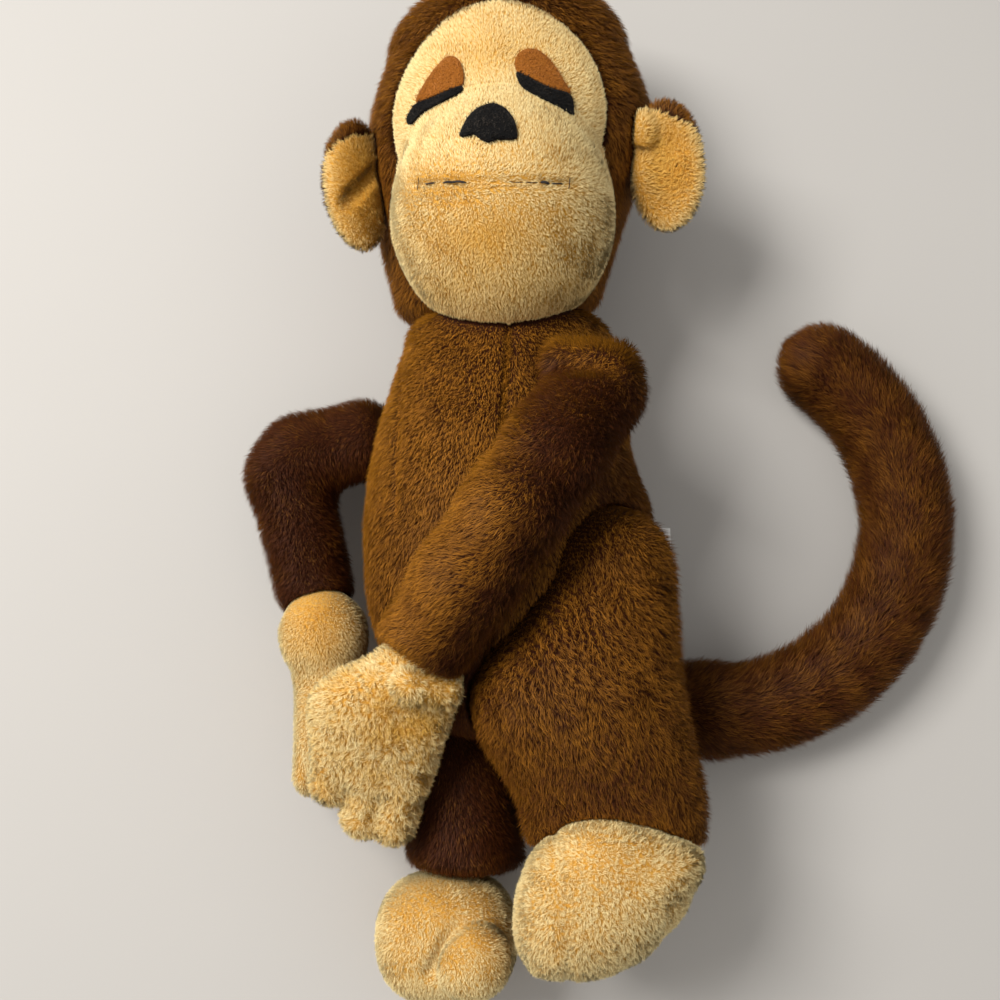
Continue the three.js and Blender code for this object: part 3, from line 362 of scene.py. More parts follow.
class MonkeyColours(PropertyGroup):
    """Colours of the cloths, felts and threads"""

    # painted shade: the brown pile's colour deep among its fibres
    brown_root_shade: colour("Brown root", "Brown pile, deep between the fibres", "#2e1505")
    brown_dark: colour("Brown dark tip", "Ends of the darker brown fibres", "#4a2109")
    brown_light: colour("Brown light tip", "Ends of the lighter brown fibres", "#b87820")
    # painted shade: the cream pile's colour deep among its fibres
    cream_root_shade: colour("Cream root", "Cream pile, deep between the fibres", "#c98f33")
    cream_dark: colour("Cream dark tip", "Ends of the golden cream fibres", "#e8b452")
    cream_light: colour("Cream light tip", "Ends of the palest cream fibres", "#ffedb4")
    tan_felt: colour("Tan felt", "Felt of the eyelids", "#95581a")
    black_felt: colour("Black felt", "Felt of the nose and lashes", "#0b0908")
    thread: colour("Thread", "Thread of the mouth", "#17110c")
    label: colour("Label", "Woven tab in the side seam", "#eeeae4")
    nylon: colour("Nylon", "Fastening patches on the palms", "#d8cfb6")
    floor: colour("Floor", "Studio floor", "#c6c1ba")


class MonkeyStage(PropertyGroup):
    """Camera and lamps"""

    lens: FloatProperty(name="Lens", description="Focal length", default=42.48, subtype="DISTANCE_CAMERA")
    camera_at: FloatVectorProperty(
        name="Camera",
        description="Place of the camera",
        default=(-0.003, -0.0545, 0.4198),
        subtype="TRANSLATION",
    )
    camera_tilt: FloatProperty(
        name="Tilt",
        description="Tilt of the camera from straight down",
        default=math.radians(9),
        subtype="ANGLE",
    )
    lamp_at: FloatVectorProperty(
        name="Lamp",
        description="Place of the soft lamp",
        default=(-0.52, 0.26, 0.86),
        subtype="TRANSLATION",
    )
    lamp_wide: length("Lamp width", "Width of the soft lamp", 420)
    lamp_power: FloatProperty(
        name="Lamp power", description="Power of the soft lamp", default=10.4, unit="POWER"
    )
    fill: FloatProperty(
        name="Fill", description="Strength of the light from all round", default=0.5, min=0
    )


# Distance fields: the distance from each point to a form, negative inside it


def smooth_min(a, b, soft):
    share = np.clip(0.5 + 0.5 * (b - a) / soft, 0, 1)
    return b + (a - b) * share - soft * share * (1 - share)


def smooth_max(a, b, soft):
    return -smooth_min(-a, -b, soft)


def stuffed(p, rows, low_dome, high_dome):
    """A stuffed tube along Y, with a round end past its first and last station."""
    y = np.clip(p[:, 1], rows[0, 0], rows[-1, 0])
    x, z, wide, deep = (np.interp(y, rows[:, 0], rows[:, i]) for i in range(1, 5))
    below = p[:, 1] < rows[0, 0]
    dome = np.where(below, low_dome, high_dome)
    past = np.abs(p[:, 1] - y) / dome
    across = (p[:, 0] - x) / wide
    up = (p[:, 2] - z) / deep
    share = np.sqrt(across**2 + up**2 + past**2)
    slope = np.sqrt((across / wide) ** 2 + (up / deep) ** 2 + (past / dome) ** 2)
    return share * (share - 1) / np.maximum(slope, 1e-4)


def ellipsoid(p, centre, radii):
    q = (p - centre) / radii
    share = np.linalg.norm(q, axis=1)
    slope = np.linalg.norm(q / radii, axis=1)
    return share * (share - 1) / np.maximum(slope, 1e-4)


def bone(p, start, end, start_radius, end_radius):
    """A round tube between two points that tapers evenly."""
    run = end - start
    t = np.clip((p - start) @ run / (run @ run), 0, 1)
    gap = np.linalg.norm(p - start - t[:, None] * run, axis=1)
    return gap - start_radius - (end_radius - start_radius) * t


def chain(p, places, radii, soft):
    """Bones from place to place, melted together."""
    made = bone(p, places[0], places[1], radii[0], radii[1])
    for i in range(1, len(places) - 1):
        made = smooth_min(made, bone(p, places[i], places[i + 1], radii[i], radii[i + 1]), soft)
    return made


def pressed(field, gap, width, depth):
    """A line pressed into a form, where gap is the distance from the line."""
    return field + depth * np.exp(-((gap / width) ** 2))


def on_floor(field, p):
    """A form flattened where it lies on the floor."""
    return smooth_max(field, FLOOR_CLEAR - p[:, 2], 1.5)


def to_head(p):
    return (p - HEAD_AT) @ HEAD_AXES


def from_head(q):
    return q @ HEAD_AXES.T + HEAD_AT


def torso_form(p):
    body = stuffed(p, TORSO, SEAT_DOME, NECK_DOME) + CLOTH_IN
    above_hip = np.exp(-np.sum(((p[:, 1:] - FLANK_AT) / FLANK_SPREAD) ** 2, axis=1))
    body = body - FLANK_FULL * above_hip * np.clip((p[:, 0] - FLANK_FROM_X) / FLANK_FADE, 0, 1)
    front = np.clip((p[:, 2] - SIDE_SEAM_Z) / 10, 0, 1)
    seam = p[:, 0] + CENTRE_SEAM_SLANT * (CENTRE_SEAM_TOP - p[:, 1])
    body = pressed(body, seam, CENTRE_SEAM_WIDE, CENTRE_SEAM_DEEP * front)
    dart = CHEST_DART_DEEP * front * np.clip((p[:, 1] - CHEST_DART_END_Y) / 6, 0, 1)
    body = pressed(body, p[:, 0] - CHEST_DART_X, CHEST_DART_WIDE, dart)
    return on_floor(pressed(body, p[:, 2] - SIDE_SEAM_Z, SIDE_SEAM_WIDE, SIDE_SEAM_DEEP), p)


def torso_cloth(p):
    """The torso with the hollows that its limbs sit in."""
    body = torso_form(p)
    for limb in (right_arm_form, left_arm_form, left_hand_form, left_leg_form, right_leg_form, tail_form):
        body = smooth_max(body, SEAT_CLEAR - limb(p), 1.2)
    return body


def head_form(p):
    return on_floor(stuffed(to_head(p), HEAD, JAW_DOME, CROWN_DOME) + CLOTH_IN, p)


def mouth_line(x):
    """Height of the mouth, which is sewn a little askew and turns up at its ends."""
    return MOUTH_Y - MOUTH_ASKEW * x + MOUTH_CURVE * x**2


def mouth_gap(q):
    """How far points lie above the mouth's line."""
    return q[:, 1] - mouth_line(q[:, 0])


def muzzle_form(p):
    q = to_head(p)
    dome = ellipsoid(q, MUZZLE_AT, MUZZLE_RADII) + CREAM_IN
    sides = np.clip((MOUTH_HALF + 3 - np.abs(q[:, 0])) / 6, 0, 1)
    front = np.clip(q[:, 2] / 20, 0, 1)
    gap = mouth_gap(q)
    dome = pressed(dome, gap, MOUTH_WIDE, MOUTH_DEEP * sides * front)
    under = np.clip((4 - q[:, 0]) / 8, 0, 1)
    return pressed(dome, gap + LIP_BELOW, LIP_WIDE, LIP_DEEP * sides * front * under)


def brow_form(p):
    """The head under the face's cloth, which rolls down to the hood at its rim."""
    rim = np.clip(-face_opening(to_head(p)) / 4, 0, 1)
    return head_form(p) - (CLOTH_IN - CREAM_IN) * rim


def face_form(p):
    """The face and the muzzle, which melt into each other on the brow side of their seam."""
    soft = 0.5 + 11 * np.clip((to_head(p)[:, 1] + 30) / 24, 0, 1)
    return smooth_min(brow_form(p), muzzle_form(p), soft)


def face_opening(q):
    oval = np.hypot(q[:, 0] / FACE_RADII[0], (q[:, 1] - FACE_Y) / FACE_RADII[1])
    return np.maximum((oval - 1) * FACE_RADII[0], FACE_FROM_Z - q[:, 2])


def hood_cloth(p):
    head = head_form(p)
    q = to_head(p)
    hood = np.maximum(head, -head - SHELL_THICK)
    hood = smooth_max(hood, PANEL_GAP / 2 - face_opening(q), 0.8)
    hood = smooth_max(hood, PANEL_GAP - muzzle_form(p), 0.8)
    hood = pressed(hood, q[:, 0], 1.2, 0.8)
    return smooth_max(hood, SEAT_CLEAR - torso_form(p), 1.2)


def face_cloth(p):
    head = head_form(p)
    face = np.maximum(face_form(p), -head - SHELL_THICK)
    face = smooth_max(face, PANEL_GAP / 2 + face_opening(to_head(p)), 0.8)
    return smooth_max(face, FACE_GAP + 0.7 * (brow_form(p) - muzzle_form(p)), 0.3)


def muzzle_cloth(p):
    head = head_form(p)
    muzzle = np.maximum(face_form(p), -head - SHELL_THICK)
    muzzle = smooth_max(muzzle, 0.7 * (muzzle_form(p) - brow_form(p)), 0.3)
    return smooth_max(muzzle, SEAT_CLEAR - torso_form(p), 1.2)


def ear_places(p, side):
    """Points in an ear's own frame: out along it, up it, and out of its front."""
    q = to_head(p) - EAR_HINGE * np.array([side, 1, 1])
    fold = math.radians(EAR_FOLD[side])
    out = side * q[:, 0] * math.cos(fold) + q[:, 2] * math.sin(fold)
    face = q[:, 2] * math.cos(fold) - side * q[:, 0] * math.sin(fold)
    return np.stack([out, q[:, 1], face], axis=1)


def ear_form(p, side):
    e = ear_places(p, side)
    curl = np.array([0, 0, EAR_RIM_CURL]) * (e[:, 1:2] ** 2)
    e = e - curl
    ear = ellipsoid(e, EAR_MIDDLE, EAR_RADII)
    if side < 0:
        ear = smooth_max(ear, -bone(e, *EAR_CREASE), 1.2)
    else:
        ear = smooth_max(ear, -ellipsoid(e, EAR_CUP_AT, EAR_CUP_RADII), 2.5)
        ear = smooth_min(ear, ellipsoid(e, EAR_LOBE_AT, EAR_LOBE_RADII), 1.5)
        ear = smooth_max(ear, -bone(e, *EAR_PLEAT), 1.0)
    return smooth_max(ear, EAR_CLEAR - head_form(p), 1.0)


def ear_seam_gap(p, side):
    """How far points lie in front of an ear's rim seam, which comes forward at the top."""
    e = ear_places(p, side)
    top = np.clip((e[:, 1] + 0.3 * (e[:, 0] - EAR_MIDDLE[0]) - 10) / 8, 0, 1)
    return e[:, 2] - EAR_SEAM - EAR_SEAM_RISE * top


def right_arm_form(p):
    upper = unit_way(RIGHT_SHOULDER, RIGHT_ELBOW)
    elbow = RIGHT_ELBOW + ELBOW_SAG
    places = [RIGHT_SHOULDER, elbow - ELBOW_ROUND * upper, elbow + ELBOW_ROUND * RIGHT_WAY, RIGHT_WRIST]
    arm = chain(p, places, [ARM_RADIUS, ARM_RADIUS, ARM_RADIUS, WRIST_RADIUS], ARM_SOFT)
    return on_floor(arm + RIGHT_CLOTH_IN, p)


def right_arm_cloth(p):
    past = (p - RIGHT_WRIST) @ RIGHT_WAY - CUFF_PAST
    cuff = smooth_max(right_arm_form(p), past, 2.5)
    return smooth_max(cuff, CUFF_CLEAR - right_hand_form(p), 0.8)


RIGHT_HAND_AXES = np.stack([bearing(RIGHT_BEARING + 90), RIGHT_WAY, np.array([0.0, 0.0, 1.0])], axis=1)


def right_hand_form(p):
    q = (p - RIGHT_WRIST) @ RIGHT_HAND_AXES
    hand = stuffed(q, RIGHT_HAND, RIGHT_HEEL_DOME, RIGHT_TIP_DOME)
    hand = smooth_min(hand, ellipsoid(q, HEEL_LOBE_AT, HEEL_LOBE_RADII), 2.0) + CREAM_IN
    hand = pressed(hand, bone(q, *HEEL_NOTCH), HEEL_NOTCH_WIDE, HEEL_NOTCH_DEEP)
    fingers = np.clip((q[:, 1] - 46) / 12, 0, 1)
    for across in RIGHT_FINGER_GROOVES:
        hand = pressed(hand, q[:, 0] - across, GROOVE_WIDE, GROOVE_DEEP * fingers)
    return on_floor(hand, p)


def left_arm_at(rise):
    along, height = rise
    place = LEFT_SHOULDER + along * LEFT_WAY
    return np.array([place[0], place[1], height])


LEFT_WRIST = left_arm_at(LEFT_WRIST_RISE)
LEFT_ARM = [LEFT_SHOULDER, left_arm_at(LEFT_UPPER_RISE), LEFT_ELBOW, left_arm_at(LEFT_FORE_RISE), LEFT_WRIST]
LEFT_ARM_RADII = [LEFT_SHOULDER_RADIUS, ARM_RADIUS, ARM_RADIUS, ARM_RADIUS, ARM_RADIUS]


def left_arm_form(p):
    arm = chain(p, LEFT_ARM, LEFT_ARM_RADII, ARM_SOFT)
    arm = smooth_min(arm, bone(p, *SHOULDER_FOLD), 2.5)
    return smooth_max(arm, SHOULDER_CREASE_DEEP - bone(p, *SHOULDER_CREASE), 3.0) + CLOTH_IN


def left_arm_cloth(p):
    past = (p - LEFT_WRIST) @ LEFT_WAY - CUFF_PAST
    cuff = smooth_max(left_arm_form(p), past, 2.5)
    return smooth_max(cuff, CUFF_CLEAR - left_hand_form(p), 0.8)


LEFT_LEVEL = bearing(LEFT_HAND_BEARING)
LEFT_HAND_WAY = LEFT_LEVEL * math.cos(HAND_SLOPE) - np.array([0, 0, math.sin(HAND_SLOPE)])
LEFT_HAND_UP = LEFT_LEVEL * math.sin(HAND_SLOPE) + np.array([0, 0, math.cos(HAND_SLOPE)])
LEFT_HAND_AXES = np.stack([bearing(LEFT_HAND_BEARING + 90), LEFT_HAND_WAY, LEFT_HAND_UP], axis=1)


def left_hand_form(p):
    q = (p - LEFT_WRIST) @ LEFT_HAND_AXES
    hand = stuffed(q, LEFT_HAND, LEFT_HAND_DOME, LEFT_HAND_DOME)
    for across, end in FINGERS:
        start = np.array([across, FINGER_FROM, FINGER_RISE])
        tip = np.array([across, end, FINGER_RISE])
        hand = smooth_min(hand, bone(q, start, tip, FINGER_RADIUS, FINGER_RADIUS), FINGER_SOFT)
    hollow = np.linalg.norm(p - HOLLOW_AT, axis=1)
    hand = pressed(hand, hollow, HOLLOW_WIDE, HOLLOW_DEEP)
    hand = smooth_min(hand, bone(p, *THUMB_FOLD), 0.9) + CREAM_IN
    return smooth_max(hand, SEAT_CLEAR - left_leg_form(p), 1.2)


def left_leg_form(p):
    leg = stuffed(p, LEFT_LEG, ANKLE_DOME, LEFT_HIP_DOME) + CLOTH_IN
    return pressed(leg, bone(p, *CUFF_CREASE), CUFF_CREASE_WIDE, CUFF_CREASE_DEEP)


def left_leg_cloth(p):
    return smooth_max(left_leg_form(p), CUFF_CLEAR - left_foot_form(p), 0.8)


def left_foot_form(p):
    q = p - LEFT_FOOT_AT
    rim = LEFT_FOOT - LEFT_FOOT_AT[:2]
    bearings = np.arctan2(rim[:, 1], rim[:, 0])
    turn = np.arctan2(q[:, 1], q[:, 0])
    edge = np.interp(turn, bearings, np.hypot(rim[:, 0], rim[:, 1]), period=2 * math.pi)
    out = np.hypot(q[:, 0], q[:, 1]) / edge
    up = (q[:, 2] - LEFT_FOOT_TILT * q[:, 1]) / LEFT_FOOT_DEEP
    share = out**LEFT_FOOT_SQUARE + np.abs(up) ** LEFT_FOOT_SQUARE
    foot = (share ** (1 / LEFT_FOOT_SQUARE) - 1) * LEFT_FOOT_DEEP + CREAM_IN
    seam = p[:, 0] - FOOT_SEAM_X + FOOT_SEAM_SLANT * (p[:, 1] + 116)
    return pressed(foot, seam, FOOT_SEAM_WIDE, FOOT_SEAM_DEEP)


def right_leg_form(p):
    return on_floor(stuffed(p, RIGHT_LEG, ANKLE_DOME, RIGHT_HIP_DOME) + CLOTH_IN, p)


def right_leg_cloth(p):
    return smooth_max(right_leg_form(p), CUFF_CLEAR - right_foot_form(p), 0.8)


def right_foot_form(p):
    q = np.abs(p - RIGHT_FOOT_AT) / RIGHT_FOOT_RADII
    share = np.sum(q**RIGHT_FOOT_SQUARE, axis=1) ** (1 / RIGHT_FOOT_SQUARE)
    pad = (share - 1) * RIGHT_FOOT_RADII[1] + CREAM_IN
    toe = np.linalg.norm(p - TOE_AT, axis=1) - TOE_RADIUS + CREAM_IN
    foot = smooth_min(pad, toe, 0.8)
    return on_floor(pressed(foot, bone(p, *TOE_CREASE), TOE_CREASE_WIDE, TOE_CREASE_DEEP), p)


def curl_places(p):
    """Degrees round the tail's curl, the nearest place on it, and the way along it there."""
    q = p - CURL_AT
    turn = np.degrees(np.arctan2(q[:, 1], q[:, 0])) - (TAIL_START - 90)
    turn = np.mod(turn, 360)
    turn = np.where(turn > TAIL_SWEEP / 2 + 180, 0, np.minimum(turn, TAIL_SWEEP))
    angle = np.radians(turn + TAIL_START - 90)
    way = np.stack([-np.sin(angle), np.cos(angle), np.zeros_like(angle)], axis=1)
    spoke = np.stack([np.cos(angle), np.sin(angle), np.zeros_like(angle)], axis=1)
    return turn, CURL_AT + TAIL_CURL_RADIUS * spoke, way


def tail_form(p):
    _, nearest, _ = curl_places(p)
    curl = np.linalg.norm(p - nearest, axis=1) - TAIL_RADIUS
    run = bone(p, TAIL_ROOT, CURL_START, TAIL_ROOT_RADIUS, TAIL_RADIUS)
    return on_floor(smooth_min(curl, run, 4.0) + CLOTH_IN, p)


# What each piece of cloth keeps clear of: its field, and the frame's nodes that give its reach
Cloth = namedtuple("Cloth", "field nodes")
CLOTHS = {
    "torso": Cloth(torso_cloth, ["torso_front_right", "torso_front_left", "torso_back"]),
    "head": Cloth(head_form, ["hood_right", "hood_left", "face_panel"]),
    "muzzle": Cloth(muzzle_form, ["muzzle_upper", "muzzle_chin"]),
    "ear_right": Cloth(lambda p: ear_form(p, -1), ["ear_right_front", "ear_right_back"]),
    "ear_left": Cloth(lambda p: ear_form(p, 1), ["ear_left_front", "ear_left_back"]),
    "right_arm": Cloth(right_arm_cloth, ["right_upper_arm", "right_forearm"]),
    "right_hand": Cloth(right_hand_form, ["right_hand_palm", "right_hand_back"]),
    "left_arm": Cloth(left_arm_cloth, ["left_upper_arm", "left_forearm"]),
    "left_hand": Cloth(left_hand_form, ["left_hand_palm", "left_hand_back"]),
    "right_leg": Cloth(right_leg_cloth, ["right_leg"]),
    "right_foot": Cloth(right_foot_form, ["right_foot_top", "right_foot_sole"]),
    "left_leg": Cloth(left_leg_cloth, ["left_leg"]),
    "left_foot": Cloth(left_foot_form, ["left_foot_top", "left_foot_sole"]),
    "tail": Cloth(tail_form, ["tail_base", "tail_end"]),
}


def reach(nodes, margin):
    """Lowest and highest corner round some of the frame's nodes."""
    boxes = [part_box(node) for node in nodes]
    low = np.min([np.array(box[0]) for box in boxes], axis=0) / MM - margin
    high = np.max([np.array(box[1]) for box in boxes], axis=0) / MM + margin
    return low, high


REACH = {name: reach(cloth.nodes, 9) for name, cloth in CLOTHS.items()}
OPEN_ROOM = 20.0


def room_at(p, own):
    """Distance from points to the nearest cloth of another piece, and to the floor."""
    room = np.minimum(np.full(len(p), OPEN_ROOM), p[:, 2] * 2 + 0.2)
    for name, cloth in CLOTHS.items():
        low, high = REACH[name]
        near = np.all((p > low) & (p < high), axis=1)
        if name not in own and near.any():
            room[near] = np.minimum(room[near], cloth.field(p[near]))
    return room


# Meshes


def outward(field, p):
    """Unit direction out of a form at points on it."""
    step = 0.35
    slope = np.stack([field(p + step * axis) - field(p - step * axis) for axis in np.eye(3)], axis=1)
    return slope / np.maximum(np.linalg.norm(slope, axis=1, keepdims=True), 1e-9)


def draw_cover(field, low, high, cell):
    """Points and four-sided faces over a form's surface, one point in each cell that the surface crosses."""
    axes = [np.arange(low[i] - cell, high[i] + 2 * cell, cell) for i in range(3)]
    count = np.array([len(axis) for axis in axes])
    grid = np.stack(np.meshgrid(*axes, indexing="ij"), axis=-1).reshape(-1, 3)
    value = field(grid).reshape(count)
    inside = value < 0
    corners = np.array([(i, j, k) for i in (0, 1) for j in (0, 1) for k in (0, 1)])
    filled = sum(
        inside[i:count[0] - 1 + i, j:count[1] - 1 + j, k:count[2] - 1 + k].astype(int) for i, j, k in corners
    )
    crossed = (filled > 0) & (filled < 8)
    cells = np.argwhere(crossed)
    total = np.zeros((len(cells), 3))
    hits = np.zeros(len(cells))
    for start in corners:
        for axis in np.flatnonzero(start == 0):
            end = start + np.eye(3, dtype=int)[axis]
            a = value[tuple((cells + start).T)]
            b = value[tuple((cells + end).T)]
            cut = (a < 0) != (b < 0)
            share = np.where(cut, a / np.where(cut, a - b, 1), 0)
            total[cut] += (start + share[:, None] * (end - start))[cut]
            hits[cut] += 1
    places = np.array([axis[0] for axis in axes]) + (cells + total / hits[:, None]) * cell
    number = np.full(count - 1, -1)
    number[crossed] = np.arange(len(cells))
    faces = []
    for axis in range(3):
        step, b, c = np.roll(np.eye(3, dtype=int), -axis, axis=0)
        first = [slice(1, -1)] * 3
        first[axis] = slice(0, -1)
        second = [slice(1, -1)] * 3
        second[axis] = slice(1, None)
        change = inside[tuple(first)] != inside[tuple(second)]
        edge = np.argwhere(change) + 1 - step
        ring = [number[tuple((edge - offset).T)] for offset in (0 * b, b, b + c, c)]
        quads = np.stack(ring, axis=1)
        leaving = inside[tuple(edge.T)]
        faces.append(np.where(leaving[:, None], quads, quads[:, ::-1]))
    faces = np.concatenate(faces)
    for _ in range(2):
        step = field(places)[:, None] * outward(field, places)
        places = places - np.clip(step, -cell / 2, cell / 2)
    return main_part(places, faces)


def main_part(places, faces):
    """The largest joined part of a cover, without the crumbs that a cut can leave."""
    part = np.arange(len(places))
    while True:
        lowest = part[faces].min(axis=1)
        after = part.copy()
        np.minimum.at(after, faces.ravel(), np.repeat(lowest, 4))
        after = after[after]
        if np.array_equal(after, part):
            break
        part = after
    kept = part == np.bincount(part[faces[:, 0]]).argmax()
    number = np.cumsum(kept) - 1
    return places[kept], number[faces[kept[faces[:, 0]]]]


def add_mesh(name, places, loops, starts, smooth):
    """A mesh object from points in millimetres, the corners of its faces and where each face starts."""
    mesh = bpy.data.meshes.new(name)
    mesh.vertices.add(len(places))
    mesh.vertices.foreach_set("co", (places * MM).astype(np.float32).ravel())
    mesh.loops.add(len(loops))
    mesh.loops.foreach_set("vertex_index", loops.astype(np.int32))
    mesh.polygons.add(len(starts))
    mesh.polygons.foreach_set("loop_start", starts.astype(np.int32))
    mesh.polygons.foreach_set("use_smooth", np.full(len(starts), smooth))
    mesh.update(calc_edges=True)
    made = bpy.data.objects.new(name, mesh)
    bpy.context.scene.collection.objects.link(made)
    return made


def add_quads(name, places, faces):
    return add_mesh(name, places, faces.ravel(), np.arange(len(faces)) * 4, True)


# Pile


def patches(p, size, seed):
    """Soft patches of about a size in millimetres, from -1 to 1."""
    rng = np.random.default_rng(seed)
    total = np.zeros(len(p))
    for _ in range(5):
        wave = rng.normal(size=3)
        wave *= 2 * math.pi / size / np.linalg.norm(wave) * rng.uniform(0.7, 1.4)
        total += np.sin(p @ wave + rng.uniform(0, 6))
    return total / 2.6


# Primes that mix a cube's place and a seed into one key, a number that spreads the key's bits,
# and where in the key each draw starts
KEY_PRIMES = (73856093, 19349663, 83492791, 7919)
KEY_SPREAD = 0x9E3779B97F4A7C15
DRAW_BITS = (14, 24, 34, 44, 53)
DRAW_STEPS = 1021


def clumps(p, size, seed):
    """The middle of the clump that each point is in, and two numbers from -1 to 1 for that clump.

    Clumps are the cells nearest to points that are scattered one to a cube of the size.
    """
    home = np.floor(p / size).astype(np.int64)
    nearest = np.full(len(p), np.inf)
    middle = np.zeros((len(p), 3))
    numbers = np.zeros((len(p), 2))
    for step in np.ndindex(3, 3, 3):
        cube = home + np.array(step) - 1
        mixed = cube * KEY_PRIMES[:3]
        key = mixed[:, 0] ^ mixed[:, 1] ^ mixed[:, 2] ^ (seed * KEY_PRIMES[3])
        key = key.astype(np.uint64) * np.uint64(KEY_SPREAD)
        draws = [(key >> np.uint64(shift)) % np.uint64(DRAW_STEPS) for shift in DRAW_BITS]
        draws = np.stack(draws, axis=1) / (DRAW_STEPS - 1)
        spot = (cube + draws[:, :3]) * size
        gap = np.sum((p - spot) ** 2, axis=1)
        closer = gap < nearest
        nearest = np.where(closer, gap, nearest)
        middle[closer] = spot[closer]
        numbers[closer] = 2 * draws[closer, 3:] - 1
    return middle, numbers[:, 0], numbers[:, 1]


# How a pile lies: the way it is brushed, its lift in degrees, how far fibres stray, the size of a clump,
# its length and its density as shares of the cloth's own, how pale it is from place to place, mostly as
# painted light and shade, how far the ends of fibres curl aside, how far they gather to their clump's
# middle, how many degrees they rise and fall in crimped rows, and how much their tone varies
NAP_DEFAULTS = (1.0, 1.0, 0.0, 0.0, 0.0, 0.0, 1.0)
Nap = namedtuple("Nap", "way lift stray clump share crowd pale curl pull crimp vary", defaults=NAP_DEFAULTS)
GUARD_SHARE = 0.3  # of the fibres are long and bend over, and the rest are a short straight undercoat
CRIMP_ROW = 2.4
WORN_SHORT = 0.35  # of its length is left to a fibre that rubs on another piece
WORN_RUN = 5.0
LEAST_ROOM = 0.2  # no fibre is rooted nearer than this to another piece
TIP_ROOM = 0.15
PRESSED_SHARE = 0.55  # of the room is left to a fibre to rise in
UNDERCOAT_SHARE = 0.8  # of a guard fibre's length
LENGTH_SPREAD = 0.13
LENGTH_RANGE = (0.6, 1.3)
LIFT_RANGE = (12, 80)
CLIMB = 0.2  # radians by which a fibre's lower half is steeper
FALL = 0.35  # radians by which its upper half is flatter
ROOT_SINK = 0.3
FIBRE_FLOOR = 0.02  # no fibre hangs lower than this
# Millimetres from patch to patch of the brushing, the lift, the crimped rows and the tone
SWING_PATCH = 13
LIFT_PATCH = 17
ROW_PATCH = 9
TONE_PATCH = 11


def at_places(setting, p):
    """A setting that is one number, or a function of the place."""
    return setting(p) if callable(setting) else np.full(len(p), float(setting))


def scatter(places, faces, density, rng):
    """Points spread evenly over four-sided faces."""
    corner = places[faces]
    spans = np.cross(corner[:, 2] - corner[:, 0], corner[:, 3] - corner[:, 1])
    area = 0.5 * np.linalg.norm(spans, axis=1)
    count = int(area.sum() * density)
    spots = (np.arange(count) + rng.random(count)) * area.sum() / count
    picked = np.minimum(np.searchsorted(np.cumsum(area), spots), len(faces) - 1)
    u, v = rng.random((2, count, 1))
    square = corner[picked]
    low = square[:, 0] * (1 - u) + square[:, 1] * u
    high = square[:, 3] * (1 - u) + square[:, 2] * u
    return low * (1 - v) + high * v


def unit(vectors):
    return vectors / np.maximum(np.linalg.norm(vectors, axis=1, keepdims=True), 1e-6)


def turned_about(axis, vectors, angle):
    """Vectors at right angles to an axis, turned about it."""
    angle = angle[:, None]
    return np.cos(angle) * vectors + np.sin(angle) * np.cross(axis, vectors)


